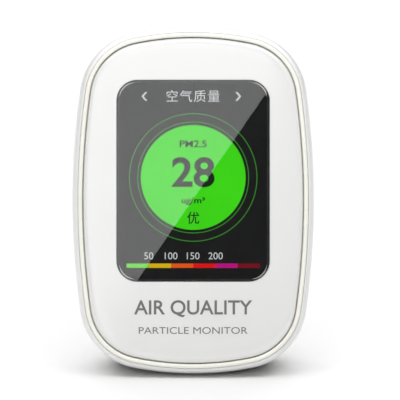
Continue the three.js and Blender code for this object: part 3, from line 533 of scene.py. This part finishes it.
def lcd_group():
    """Light of a liquid crystal display: rows and columns of picture dots, a little uneven."""
    group, entry, out = new_group(
        "display_light",
        [("Light", "NodeSocketColor", (1, 1, 1, 1)), ("Dots per Metre", "NodeSocketFloat", 5556.0)],
        [("Color", "NodeSocketColor"), ("Dots", "NodeSocketFloat")],
    )
    where = group.nodes.new("ShaderNodeTexCoord").outputs["Object"]
    parts = group.nodes.new("ShaderNodeSeparateXYZ")
    group.links.new(where, parts.inputs["Vector"])
    waves = []
    for axis in ("X", "Z"):
        count = group.nodes.new("ShaderNodeMath")
        count.operation = "MULTIPLY"
        group.links.new(parts.outputs[axis], count.inputs[0])
        group.links.new(entry.outputs["Dots per Metre"], count.inputs[1])
        swing = group.nodes.new("ShaderNodeMath")
        swing.operation = "PINGPONG"
        swing.inputs[1].default_value = 0.5
        group.links.new(count.outputs[0], swing.inputs[0])
        waves.append(swing.outputs[0])
    both = group.nodes.new("ShaderNodeMath")
    both.operation = "MINIMUM"
    group.links.new(waves[0], both.inputs[0])
    group.links.new(waves[1], both.inputs[1])
    dots = remap(group, both.outputs[0], 0.86, 1.0, start=0.0, end=0.12)
    uneven = remap(group, noise(group, where, scale=60.0, detail=1.0), 0.96, 1.04)
    level = group.nodes.new("ShaderNodeMath")
    level.operation = "MULTIPLY"
    group.links.new(dots, level.inputs[0])
    group.links.new(uneven, level.inputs[1])
    lit = group.nodes.new("ShaderNodeVectorMath")
    lit.operation = "SCALE"
    group.links.new(entry.outputs["Light"], lit.inputs[0])
    group.links.new(level.outputs[0], lit.inputs["Scale"])
    group.links.new(lit.outputs[0], out.inputs["Color"])
    group.links.new(dots, out.inputs["Dots"])
    return group


MOULDED = moulded_group()
ROLLED = brushed_group()
DISPLAY_LIGHT = lcd_group()


# ---------------------------------------------------------------- materials

GRAIN_HEIGHT = 0.00002    # metres


def blank_material(name):
    material = bpy.data.materials.new(name)
    material.use_nodes = True
    return material, material.node_tree, material.node_tree.nodes["Principled BSDF"]


def use_group(tree, group, **values):
    """A group placed in a material, with this material's values on its inputs."""
    node = tree.nodes.new("ShaderNodeGroup")
    node.node_tree = group
    for label, value in values.items():
        node.inputs[label.replace("_", " ")].default_value = value
    return node


def add_bump(tree, shader, height, strength, distance):
    bump = tree.nodes.new("ShaderNodeBump")
    bump.inputs["Strength"].default_value = strength
    bump.inputs["Distance"].default_value = distance
    tree.links.new(height, bump.inputs["Height"])
    tree.links.new(bump.outputs["Normal"], shader.inputs["Normal"])


def moulded(name, tone, shade, rough, grain=4000.0, bump=0.15, coat=0.0, drift=40.0):
    """A moulded plastic, a rubber, a foam, an ink or a paper, by its tones and its grain."""
    material, tree, shader = blank_material(name)
    node = use_group(
        tree,
        MOULDED,
        Tone=(*tone, 1),
        Shade_Tone=(*shade, 1),
        Low_Roughness=rough[0],
        High_Roughness=rough[1],
        Grain_Scale=grain,
        Drift_Scale=drift,
    )
    tree.links.new(node.outputs["Color"], shader.inputs["Base Color"])
    tree.links.new(node.outputs["Roughness"], shader.inputs["Roughness"])
    add_bump(tree, shader, node.outputs["Height"], bump, GRAIN_HEIGHT)
    shader.inputs["Coat Weight"].default_value = coat
    shader.inputs["Coat Roughness"].default_value = 0.05
    return material


def metal(name, tone, dull, streak=900.0):
    """A rolled or turned metal."""
    material, tree, shader = blank_material(name)
    node = use_group(tree, ROLLED, Tone=(*tone, 1), Dull_Tone=(*dull, 1), Streak_Scale=streak)
    tree.links.new(node.outputs["Color"], shader.inputs["Base Color"])
    tree.links.new(node.outputs["Roughness"], shader.inputs["Roughness"])
    shader.inputs["Metallic"].default_value = 1.0
    add_bump(tree, shader, node.outputs["Height"], 0.2, GRAIN_HEIGHT)
    return material


def lit(name, colour, strength):
    """A lit part of the display."""
    material, tree, shader = blank_material(name)
    node = use_group(tree, DISPLAY_LIGHT, Light=(*colour, 1))
    tree.links.new(node.outputs["Color"], shader.inputs["Emission Color"])
    shader.inputs["Emission Strength"].default_value = strength
    shader.inputs["Base Color"].default_value = (0.005, 0.005, 0.005, 1)
    shader.inputs["Roughness"].default_value = 0.5
    shader.inputs["Specular IOR Level"].default_value = 0.0
    return material


def smoked_glass():
    """Clear cover glass with the faintest unevenness of polish."""
    material, tree, shader = blank_material("smoked_cover_glass")
    shader.inputs["Base Color"].default_value = (0.96, 0.97, 0.97, 1)
    shader.inputs["Transmission Weight"].default_value = 1.0
    shader.inputs["IOR"].default_value = 1.5
    where = tree.nodes.new("ShaderNodeTexCoord").outputs["Object"]
    rough = remap(tree, noise(tree, where, scale=90.0, detail=4.0), 0.0, 0.002, start=0.5, end=0.75)
    tree.links.new(rough, shader.inputs["Roughness"])
    return material


def dark_display():
    """The unlit display under the glass: near black, with its rows of dots just visible."""
    material, tree, shader = blank_material("dark_display_glass")
    node = use_group(tree, DISPLAY_LIGHT, Light=(0.0045, 0.0045, 0.005, 1))
    tree.links.new(node.outputs["Color"], shader.inputs["Base Color"])
    shader.inputs["Roughness"].default_value = 0.4
    shader.inputs["Specular IOR Level"].default_value = 0.1
    return material


def woven_mesh():
    """Fine woven steel mesh: two sets of wires over and under each other. Its colour carries painted shade:
    near black in the openings between the wires, rising to grey on the wire crests.
    """
    material, tree, shader = blank_material("woven_steel_mesh_painted_shade")
    where = tree.nodes.new("ShaderNodeTexCoord").outputs["Object"]
    heights = []
    for axis in ("X", "Z"):
        wires = tree.nodes.new("ShaderNodeTexWave")
        wires.bands_direction = axis
        wires.inputs["Scale"].default_value = 420.0
        wires.inputs["Distortion"].default_value = 0.0
        tree.links.new(where, wires.inputs["Vector"])
        heights.append(wires.outputs["Fac"])
    weave = tree.nodes.new("ShaderNodeMath")
    weave.operation = "MAXIMUM"
    tree.links.new(heights[0], weave.inputs[0])
    tree.links.new(heights[1], weave.inputs[1])
    # painted shade: the weave's openings and low places are coloured near black, its crests grey
    ramp = tree.nodes.new("ShaderNodeValToRGB")
    ramp.color_ramp.elements[0].position = 0.45
    ramp.color_ramp.elements[0].color = (0.01, 0.01, 0.01, 1)
    ramp.color_ramp.elements[1].position = 0.75
    ramp.color_ramp.elements[1].color = (0.42, 0.42, 0.43, 1)
    tree.links.new(weave.outputs[0], ramp.inputs["Fac"])
    tree.links.new(ramp.outputs["Color"], shader.inputs["Base Color"])
    tree.links.new(remap(tree, weave.outputs[0], 0.7, 0.35), shader.inputs["Roughness"])
    shader.inputs["Metallic"].default_value = 0.8
    add_bump(tree, shader, weave.outputs[0], 0.6, 0.0002)
    return material


WHITE_GLOSS = moulded("gloss_white_face", (0.86, 0.86, 0.855), (0.84, 0.84, 0.83), (0.1, 0.16),
                      bump=0.03, coat=0.6)
WHITE_SATIN = moulded("satin_white_shell", (0.90, 0.90, 0.89), (0.87, 0.87, 0.86), (0.28, 0.36), bump=0.25)
IVORY = moulded("ivory_trim", (0.96, 0.96, 0.88), (0.94, 0.93, 0.85), (0.22, 0.3), bump=0.1)
RUBBER = moulded("grey_foot_rubber", (0.16, 0.16, 0.165), (0.12, 0.12, 0.125), (0.7, 0.85), 2500.0, 0.5)
BLACK_PLASTIC = moulded("black_moulding", (0.02, 0.02, 0.022), (0.03, 0.03, 0.032), (0.4, 0.55), 3000.0, 0.3)
PALE_PLASTIC = moulded("pale_chassis", (0.68, 0.68, 0.65), (0.62, 0.62, 0.60), (0.5, 0.6), 3000.0, 0.3)
BOARD = moulded("green_solder_mask", (0.02, 0.16, 0.07), (0.015, 0.12, 0.05), (0.3, 0.4), 1500.0, 0.2)
FOAM = moulded("dark_foam", (0.03, 0.03, 0.03), (0.015, 0.015, 0.015), (0.9, 0.97), 1200.0, 0.9)
GUIDE = moulded("white_light_guide", (0.85, 0.87, 0.9), (0.8, 0.82, 0.85), (0.2, 0.3))
RIBBON = moulded("amber_film", (0.55, 0.25, 0.05), (0.45, 0.2, 0.04), (0.25, 0.4), 2000.0)
WRAP = metal("pouch_foil", (0.62, 0.64, 0.67), (0.5, 0.52, 0.55), 500.0)
STEEL = metal("zinc_plated_steel", (0.62, 0.62, 0.64), (0.45, 0.45, 0.47))
BRASS = metal("turned_brass", (0.7, 0.5, 0.2), (0.55, 0.38, 0.15))
GLASS = smoked_glass()
DARK_DISPLAY = dark_display()
MASK_INK = moulded("black_mask_ink", (0.006, 0.006, 0.007), (0.008, 0.008, 0.009), (0.35, 0.45), 2500.0, 0.1)
LABEL_INK = moulded("grey_label_ink", (0.15, 0.15, 0.155), (0.17, 0.17, 0.175), (0.3, 0.4), 3000.0, 0.2)
WOVEN = woven_mesh()

SLOT_MATERIALS = {
    "white_gloss": WHITE_GLOSS,
    "white_satin": WHITE_SATIN,
    "ivory_trim": IVORY,
    "smoked_lens": GLASS,
    "foot_rubber": RUBBER,
    "zinc_steel": STEEL,
    "white_plastic": PALE_PLASTIC,
    "black_plastic": BLACK_PLASTIC,
    "circuit_board": BOARD,
    "dark_foam": FOAM,
    "lcd_glass": DARK_DISPLAY,
    "backlight_white": GUIDE,
    "amber_ribbon": RIBBON,
    "battery_wrap": WRAP,
    "laser_brass": BRASS,
}


def finish_cad_nodes():
    """Every CAD node that stays in view gets its slot's finish."""
    for subpart in frame["record"]["subparts"]:
        node = frame["nodes"][subpart["node"]]
        node.data.materials.clear()
        node.data.materials.append(SLOT_MATERIALS[subpart["material_slot"]])
    mesh = frame["nodes"]["vent_mesh"].data
    mesh.materials.clear()
    mesh.materials.append(WOVEN)


# ---------------------------------------------------------------- casing


def rim_curve(steps):
    """The shell from its rim out to its widest line, as (offset, depth) points."""
    points = []
    for step in range(steps):
        angle = step / steps * math.pi / 2
        offset = RIM_OFFSET + (BULGE - RIM_OFFSET) * math.sin(angle)
        points.append((offset, WIDEST_DEPTH - (WIDEST_DEPTH - RIM_DEPTH) * math.cos(angle)))
    return points


def back_curve(widest, flat_back, steps):
    """The shell from its widest line round to its flat back."""
    points = []
    for step in range(steps + 1):
        angle = step / steps * math.pi / 2
        offset = (widest + BACK_INSET) * max(math.cos(angle), 0.0) ** BACK_FULLNESS - BACK_INSET
        depth = BACK_CURVE_DEPTH + (flat_back - BACK_CURVE_DEPTH) * math.sin(angle) ** BACK_FULLNESS
        points.append((offset, depth))
    return points


def vent_cutters():
    """One slot of each length, with a flared mouth, for both halves of the round grille."""
    slots = []
    rows = math.floor((VENT_RADIUS - VENT_SLOT) / VENT_PITCH)
    for row in range(-rows, rows + 1):
        rise = row * VENT_PITCH
        length = math.sqrt(VENT_RADIUS ** 2 - rise ** 2) - VENT_RIB / 2
        for side in (-1, 1):
            spot = (side * (VENT_RIB / 2 + length / 2), SENSOR_RISE + rise)
            slot = plate("slot", length, VENT_SLOT, VENT_SLOT / 2 - 2 * ROUND_END_EASE,
                         VENT_SLOT_START, BODY_DEPTH + 1, spot, steps=6)
            slots.append(slot)
            edit(slot)
            pick(slot, "faces", lambda face: face.calc_center_median().y > BODY_DEPTH + 0.9)
            bpy.ops.transform.translate(value=(0, VENT_FLARE_PAST - 1.0 - VENT_FLARE, 0))
            bpy.ops.mesh.extrude_region_move(TRANSFORM_OT_translate={"value": (0, VENT_FLARE, 0)})
            grow_x = (length + 2 * VENT_FLARE) / length
            grow_z = (VENT_SLOT + 2 * VENT_FLARE) / VENT_SLOT
            middle = (spot[0], BODY_DEPTH, spot[1])
            bpy.ops.transform.resize(value=(grow_x, 1, grow_z), center_override=middle)
            bpy.ops.mesh.extrude_region_move(TRANSFORM_OT_translate={"value": (0, 1.0, 0)})
            bpy.ops.mesh.select_all(action="SELECT")
            bpy.ops.mesh.normals_make_consistent(inside=False)
            leave()
    return join("slots", slots)


def screw_places():
    """Where the four case screws stand, in the face's plane."""
    x, z = corner_point(CASE_SCREW_ANGLE, -CASE_SCREW_INSET)
    return [(side * x, end * z) for side in (-1, 1) for end in (1, -1)]


def make_rear_shell():
    """The tub: a skin, its room with the screw bosses left standing, and then each opening."""
    shell = swept("shell_skin", rim_curve(10) + back_curve(BULGE, BODY_DEPTH, 22))
    room = swept("shell_room", [(INNER_OFFSET, 0.0)] + back_curve(INNER_OFFSET, BODY_DEPTH - WALL, 12))
    combine(room, table_block("base_floor", BELOW_BASE, FOOT_PROUD + BASE_WALL, 2, BEHIND_BACK))

    def bars(name, radius, front, back, sides=48):
        """The same bar at each of the four screws."""
        return join(name, [round_bar(name, radius, front, back, spot, sides) for spot in screw_places()])

    combine(room, bars("bosses", WELL_RADIUS + BOSS_WALL, BOSS_FRONT, WELL_MOUTH_DEPTH))
    combine(shell, room)
    combine(shell, bars("wells", WELL_RADIUS, WELL_FLOOR_DEPTH, WELL_MOUTH_DEPTH, 40))
    combine(shell, bars("bores", SCREW_BORE, BOSS_FRONT - 1, WELL_FLOOR_DEPTH + 1, 24))
    combine(shell, table_block("base_cut", BELOW_BASE, FOOT_PROUD, AHEAD_OF_FACE, BEHIND_BACK))
    combine(shell, join("foot_pockets", [foot_body("pocket", side, FOOT_POCKET_GAP) for side in (-1, 1)]))
    combine(shell, vent_cutters())
    combine(shell, plate(
        "button_hole",
        BUTTON_LENGTH + 2 * BUTTON_GAP,
        BUTTON_WIDTH + 2 * BUTTON_GAP,
        BUTTON_WIDTH / 2 + BUTTON_GAP - ROUND_END_EASE,
        BUTTON_HOLE_FOOT,
        BUTTON_HOLE_TOP,
        (0, BUTTON_DEPTH),
        turn="top",
    ))
    low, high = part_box("usb_socket")
    socket_depth = (TO_ROW.inverted() @ ((low + high) / 2)).y
    combine(shell, plate(
        "socket_hole",
        USB_HEIGHT + USB_OPENING_EXTRA,
        USB_WIDTH + USB_OPENING_EXTRA,
        USB_OPENING_RADIUS,
        USB_OPENING_START,
        USB_OPENING_END,
        (socket_depth, -USB_DROP),
        turn="side",
    ))
    smooth(shell)
    place(shell, WHITE_SATIN, "white_satin", replaces=("rear_shell",))
    shell.name = "rear_shell_moulding"


def make_front_panel():
    """The gloss face, crowned along its edge, with a seat and an opening for the lens."""
    steps = 14
    crown = []
    for step in range(steps + 1):
        share = step / steps
        offset = -PANEL_CROWN_WIDTH + share * (PANEL_CROWN_WIDTH - PANEL_EDGE_GAP)
        crown.append((offset, PANEL_CROWN * (1 - math.sqrt(max(1 - share ** 4, 0.0)))))
    section = [(-PANEL_CROWN_WIDTH - 1.5, 0.0)] + crown
    section += [(-PANEL_EDGE_GAP, PANEL_THICKNESS), (-PANEL_CROWN_WIDTH, PANEL_THICKNESS)]
    panel = swept("panel_skin", section)
    seat = plate("seat", WINDOW_WIDTH, WINDOW_HEIGHT, WINDOW_RADIUS, -1, LENS_THICKNESS + SEAT_GAP,
                 (0, WINDOW_RISE), steps=WINDOW_STEPS)
    combine(panel, seat)
    ledge = 2 * WINDOW_LEDGE
    opening = plate("opening", WINDOW_WIDTH - ledge, WINDOW_HEIGHT - ledge, WINDOW_RADIUS - WINDOW_LEDGE,
                    -1, 5, (0, WINDOW_RISE), steps=WINDOW_STEPS)
    combine(panel, opening)
    smooth(panel)
    place(panel, WHITE_GLOSS, "white_gloss", replaces=("front_panel",))
    panel.name = "gloss_front_panel"


def make_trim_ring():
    """The ivory ring round the face: a rounded crest in front, and a foot under the panel."""
    middle = RING_START + RING_WIDTH / 2
    steps = 12
    crown = []
    for step in range(steps + 1):
        angle = math.pi * step / steps
        across = middle - RING_WIDTH / 2 * math.cos(angle)
        rise = (RING_SHOULDER - RING_CREST) * math.sin(angle) ** RING_FULLNESS
        crown.append((across, RING_SHOULDER - rise))
    outer = RING_START + RING_WIDTH
    section = [(-RING_FOOT, RING_FOOT_DEPTH), (RING_START, RING_FOOT_DEPTH)] + crown
    section += [(outer, RING_BACK_DEPTH), (-RING_FOOT, RING_BACK_DEPTH)]
    ring = swept("ivory_trim_ring", section, closed=True)
    smooth(ring)
    place(ring, IVORY, "ivory_trim", replaces=("trim_ring",))


def make_lens():
    """The cover lens, and the black border printed behind its edge."""
    lens = plate("cover_lens", WINDOW_WIDTH - 2 * LENS_GAP, WINDOW_HEIGHT - 2 * LENS_GAP,
                 WINDOW_RADIUS - LENS_GAP, 0, LENS_THICKNESS, (0, WINDOW_RISE), edge=0.06, steps=WINDOW_STEPS)
    smooth(lens)
    place(lens, GLASS, "smoked_lens", replaces=("display_lens",))
    print_front = LENS_THICKNESS + PRINT_GAP
    border = plate("lens_border_print", WINDOW_WIDTH - 3 * LENS_GAP, WINDOW_HEIGHT - 3 * LENS_GAP,
                   WINDOW_RADIUS - 1.5 * LENS_GAP, print_front, print_front + PRINT_THICKNESS,
                   (0, WINDOW_RISE), steps=WINDOW_STEPS)
    clear = plate("clear_area", CLEAR_WIDTH, CLEAR_HEIGHT, CLEAR_RADIUS, 0, 5, (0, WINDOW_RISE), steps=12)
    combine(border, clear)
    place(border, MASK_INK, "smoked_lens")


def make_button():
    """The button's cap with its dished top, standing on a wider flange under the shell."""
    stem = plate("button_stem", BUTTON_LENGTH, BUTTON_WIDTH, BUTTON_WIDTH / 2 - ROUND_END_EASE,
                 BUTTON_FLANGE_FOOT + 0.1, BUTTON_TOP, (0, BUTTON_DEPTH), edge=0.3, steps=12, turn="top")
    edit(stem)
    pick(stem, "faces", lambda face: face.normal.z > 0.9 and face.calc_area() > 20)
    bpy.ops.mesh.inset(thickness=BUTTON_DISH_RIM, depth=0)
    bpy.ops.mesh.inset(thickness=BUTTON_DISH_SLOPE, depth=-BUTTON_DISH)
    leave()
    flange = plate("button_flange", BUTTON_LENGTH + 2 * BUTTON_FLANGE, BUTTON_WIDTH + 2 * BUTTON_FLANGE,
                   BUTTON_WIDTH / 2 + BUTTON_FLANGE - ROUND_END_EASE, BUTTON_FLANGE_FOOT, BUTTON_FLANGE_TOP,
                   (0, BUTTON_DEPTH), turn="top")
    combine(stem, flange, "UNION")
    smooth(stem, 40)
    place(stem, WHITE_SATIN, "white_satin", body="button", replaces=("power_button",))
    stem.name = "push_button_cap"


def make_feet():
    """The two rubber feet, in their pockets."""
    for side, node in ((-1, "foot_left"), (1, "foot_right")):
        pad = foot_body(node + "_pad", side, 0, edge=0.25)
        smooth(pad, 40)
        place(pad, RUBBER, "foot_rubber", replaces=(node,))


def make_screws():
    """Pan head screws with a cross recess: one is modelled, the others are its copies."""
    first = screw_places()[0]
    seat = WELL_FLOOR_DEPTH + SEAT_GAP
    head = round_bar("case_screw", SCREW_HEAD_RADIUS, seat, seat + SCREW_HEAD_HEIGHT, first, 40,
                     edge=SCREW_HEAD_EDGE)
    for width, height in ((CROSS_LENGTH, CROSS_WIDTH), (CROSS_WIDTH, CROSS_LENGTH)):
        combine(head, plate("cross", width, height, 0.12, seat + CROSS_FLOOR, seat + 3, first, steps=2))
    shank = round_bar("shank", SCREW_SHANK_RADIUS, seat - SCREW_SHANK_LENGTH, seat + 0.2, first, 24)
    combine(head, shank, "UNION")
    smooth(head, 40)
    screws = [head]
    for x, z in screw_places()[1:]:
        copy = head.copy()
        copy.data = head.data.copy()
        bpy.context.scene.collection.objects.link(copy)
        copy.data.transform(Matrix.Translation((x - first[0], 0, z - first[1])))
        screws.append(copy)
    for number, screw in enumerate(screws, 1):
        screw.name = f"pan_screw_{number}"
        place(screw, STEEL, "zinc_steel", replaces=(f"case_screw_{number}",))


# ---------------------------------------------------------------- picture on the display

PICTURE_DEPTH = LCD_DEPTH - 0.05
DIAL_RISE = 6.8


def flat_text(name, words, height, width, x, z, depth, material, slot, weight=0.0, spacing=1.0):
    """Words as thin raised ink or light, scaled to a height and a width and centred at (x, z)."""
    bpy.ops.object.select_all(action="DESELECT")
    bpy.ops.object.text_add()
    piece = bpy.context.object
    piece.data.body = words
    piece.data.align_x = "CENTER"
    piece.data.extrude = 0.004
    piece.data.offset = weight
    piece.data.space_character = spacing
    piece.data.resolution_u = 6
    bpy.ops.object.convert(target="MESH")
    xs = [vertex.co.x for vertex in piece.data.vertices]
    ys = [vertex.co.y for vertex in piece.data.vertices]
    middle = Vector(((max(xs) + min(xs)) / 2, (max(ys) + min(ys)) / 2, 0))
    grow_y = height / (max(ys) - min(ys))
    grow_x = width / (max(xs) - min(xs)) if width else grow_y
    piece.data.transform(Matrix.Translation(-middle))
    piece.data.transform(Matrix.Diagonal((grow_x, grow_y, grow_y, 1)))
    piece.data.transform(face_stand(x, depth, z))
    piece.name = name
    place(piece, material, slot)


def flat_circle(name, radius, depth):
    """A filled circle round the dial's middle, left in edit mode with all of it selected."""
    bpy.ops.object.select_all(action="DESELECT")
    bpy.ops.mesh.primitive_circle_add(vertices=128, radius=radius, fill_type="NGON",
                                      location=(0, depth, DIAL_RISE), rotation=(math.pi / 2, 0, 0))
    piece = settle(bpy.context.object, name)
    edit(piece)
    bpy.ops.mesh.select_all(action="SELECT")
    return piece


def flat_ring(name, radius, line, material):
    """A thin lit ring round the dial."""
    piece = flat_circle(name, radius + line / 2, PICTURE_DEPTH)
    bpy.ops.mesh.inset(thickness=line, depth=0)
    bpy.ops.mesh.delete(type="FACE")
    leave()
    place(piece, material, "lcd_glass")


def flat_disc(name, radius, material):
    """The lit disc that the reading stands on."""
    piece = flat_circle(name, radius, PICTURE_DEPTH + 0.02)
    bpy.ops.mesh.inset(thickness=0.3, depth=0)
    leave()
    place(piece, material, "lcd_glass")


def chevron(name, x, z, direction, material):
    """An open arrow head: two strokes that meet in a point."""
    reach, rise, line = 1.1, 1.3, 0.5
    piece = single_point((x - direction * reach / 2, PICTURE_DEPTH, z + rise))
    for step in ((direction * reach, 0, -rise), (-direction * reach, 0, -rise)):
        bpy.ops.mesh.extrude_region_move(TRANSFORM_OT_translate={"value": step})
    bpy.ops.mesh.select_all(action="SELECT")
    bpy.ops.mesh.extrude_region_move(TRANSFORM_OT_translate={"value": (-direction * line * 1.3, 0, 0)})
    leave()
    piece.name = name
    place(piece, material, "lcd_glass")


def make_picture():
    """The dial with its reading, the title between two arrows, and the coloured scale."""
    pale = lit("display_pale_light", (0.80, 0.82, 0.84), 0.75)
    green = lit("display_green_light", (0.045, 0.71, 0.002), 1.0)
    dim_green = lit("display_dim_green_light", (0.05, 0.40, 0.02), 1.0)
    dark = lit("display_dark", (0.004, 0.012, 0.004), 1.0)
    flat_disc("dial_disc", 15.45, green)
    flat_ring("dial_inner_ring", 16.35, 0.17, dim_green)
    flat_ring("dial_outer_ring", 18.8, 0.17, dim_green)
    front = PICTURE_DEPTH - 0.05
    flat_text("title_words", "空气质量", 3.5, 15.7, 0, 30.8, front, pale, "lcd_glass", spacing=1.12)
    chevron("page_left_arrow", -14.7, 30.7, -1, pale)
    chevron("page_right_arrow", 13.6, 30.7, 1, pale)
    flat_text("particle_size_words", "PM2.5", 2.06, 8.0, 0, 16.7, front, dark, "lcd_glass", weight=0.02)
    flat_text("reading_digits", "28", 8.9, 12.6, 0, 8.35, front, dark, "lcd_glass", weight=0.022)
    flat_text("unit_words", "ug/m³", 2.3, 6.9, 0, -0.2, front, dark, "lcd_glass", weight=0.02)
    flat_text("grade_word", "优", 3.6, None, 0, -5.1, front, dark, "lcd_glass", weight=0.01)
    for words, x in (("50", -13.1), ("100", -6.5), ("150", 0), ("200", 6.6)):
        flat_text("scale_number_" + words, words, 2.06, None, x, -16.3, front, pale, "lcd_glass")
    half_width, height, rise = 19.65, 1.3, -19.2
    colours = {
        "green": (0.13, 0.68, 0.02),
        "yellow": (0.68, 0.45, 0.0),
        "orange": (0.75, 0.09, 0.003),
        "red": (0.72, 0.002, 0.002),
        "magenta": (0.50, 0.0, 0.21),
        "maroon": (0.18, 0.0, 0.008),
    }
    width = 2 * half_width / len(colours)
    for number, (colour, light) in enumerate(colours.items()):
        x = -half_width + width * (number + 0.5)
        segment = plate("scale_bar_" + colour, width, height, 0, PICTURE_DEPTH, PICTURE_DEPTH + 0.03,
                        (x, rise))
        place(segment, lit("display_" + colour + "_segment", light, 1.0), "lcd_glass")


def make_label():
    """A plain description of the instrument in two printed lines, where a maker would sign it."""
    lines = (
        ("label_large_line", "AIR QUALITY", 5.0, 34.7, -31.8, -0.035, 0.012),
        ("label_small_line", "PARTICLE MONITOR", 2.0, 32.0, -38.2, -0.015, 0.0),
    )
    for name, words, height, width, z, depth, weight in lines:
        flat_text(name, words, height, width, 0, z, depth, LABEL_INK, "white_gloss", weight=weight)


# ---------------------------------------------------------------- stage, lights and camera

VIEW_UNIT = 0.294 * MM
VIEW_WIDTH = 400 * VIEW_UNIT
VIEW_SHIFT = (6.83 * VIEW_UNIT, 0.54 * VIEW_UNIT)
SENSOR_WIDTH = 36
CAMERA_DISTANCE = 1.3
CAMERA_ELEVATION = LEAN


def make_camera():
    """A distant camera with a long lens, looking square at the leaning face. Returns the point
    it looks at, the way it looks and its up direction."""
    toward = Vector((0, math.cos(CAMERA_ELEVATION), -math.sin(CAMERA_ELEVATION)))
    up = Vector((0, math.sin(CAMERA_ELEVATION), math.cos(CAMERA_ELEVATION)))
    aim = FACE_ORIGIN + Vector((VIEW_SHIFT[0], 0, 0)) + up * VIEW_SHIFT[1]
    camera = bpy.data.cameras.new("camera")
    camera.sensor_width = SENSOR_WIDTH
    camera.lens = SENSOR_WIDTH * CAMERA_DISTANCE / VIEW_WIDTH
    camera.clip_start = 0.01
    holder = bpy.data.objects.new("camera", camera)
    bpy.context.scene.collection.objects.link(holder)
    holder.location = aim - toward * CAMERA_DISTANCE
    holder.rotation_euler = (math.pi / 2 - CAMERA_ELEVATION, 0, 0)
    bpy.context.scene.camera = holder
    return aim, toward, up


def soft_box(name, width, height, radiance, matrix):
    """A rectangular light of a given radiance."""
    light = bpy.data.lights.new(name, "AREA")
    light.shape = "RECTANGLE"
    light.size = width
    light.size_y = height
    light.energy = radiance * math.pi * width * height
    holder = bpy.data.objects.new(name, light)
    bpy.context.scene.collection.objects.link(holder)
    holder.matrix_world = matrix
    return holder


def aimed_soft_box(name, location, target, width, height, radiance):
    """A soft box turned to face its target, and not seen by the camera itself."""
    aim = (Vector(target) - Vector(location)).to_track_quat("-Z", "Y").to_matrix().to_4x4()
    holder = soft_box(name, width, height, radiance, Matrix.Translation(location) @ aim)
    holder.visible_camera = False


def make_reflected_box(aim, toward, up):
    """A soft box behind the camera, whose lower right edge is mirrored across the cover lens."""
    distance = 2.2
    spread = 1 + distance / CAMERA_DISTANCE
    right = Vector((1, 0, 0))
    low_point = Vector((-16.6, -23.7)) * MM
    high_point = Vector((21.9, 32.2)) * MM
    along = (high_point - low_point).normalized()
    outward = Vector((-along.y, along.x))
    size_along, size_out = 1.3, 1.1
    mirror_centre = FACE_ORIGIN - toward * distance
    middle = (low_point + high_point) / 2 * spread + outward * size_out / 2
    shift = aim - FACE_ORIGIN
    view_x, view_up = shift.dot(right), shift.dot(up)
    middle -= Vector((view_x, view_up)) * (spread - 1)
    centre = mirror_centre + right * middle.x + up * middle.y
    x_axis = right * along.x + up * along.y
    y_axis = right * outward.x + up * outward.y
    z_axis = x_axis.cross(y_axis)
    turn = Matrix((x_axis, y_axis, z_axis)).transposed().to_4x4()
    soft_box("reflected_soft_box", size_along, size_out, 1.7, Matrix.Translation(centre) @ turn)


def make_stage():
    """A pale sweep to stand on, a little light all round, and the soft boxes."""
    bpy.ops.object.select_all(action="DESELECT")
    bpy.ops.mesh.primitive_plane_add(size=8, location=(0, 1.5, 0))
    floor = bpy.context.object
    floor.name = "floor"
    paper = moulded("pale_paper_sweep", (0.91, 0.91, 0.91), (0.895, 0.895, 0.895), (0.6, 0.7),
                    900.0, 0.05, drift=4.0)
    paper.node_tree.nodes["Principled BSDF"].inputs["Specular IOR Level"].default_value = 0.2
    floor.data.materials.append(paper)
    world = bpy.data.worlds.new("studio")
    bpy.context.scene.world = world
    world.use_nodes = True
    background = world.node_tree.nodes["Background"]
    background.inputs["Color"].default_value = (1, 1, 1, 1)
    background.inputs["Strength"].default_value = 0.09
    aimed_soft_box("overhead_soft_box", (-0.05, 0.2, 1.3), (0, 0.2, 0), 2.4, 2.4, 1.42)
    aimed_soft_box("near_strip_light", (0.02, -0.16, 0.29), (0, 0, 0.09), 0.4, 0.1, 3.0)
    aimed_soft_box("background_soft_box", (0, 1.7, 1.1), (0, 1.5, 0), 3.0, 1.4, 1.5)
    bpy.context.scene.view_settings.view_transform = "Standard"


# ---------------------------------------------------------------- assembly

finish_cad_nodes()
make_rear_shell()
make_front_panel()
make_trim_ring()
make_lens()
make_button()
make_feet()
make_screws()
make_picture()
make_label()
make_stage()
view_aim, view_toward, view_up = make_camera()
make_reflected_box(view_aim, view_toward, view_up)
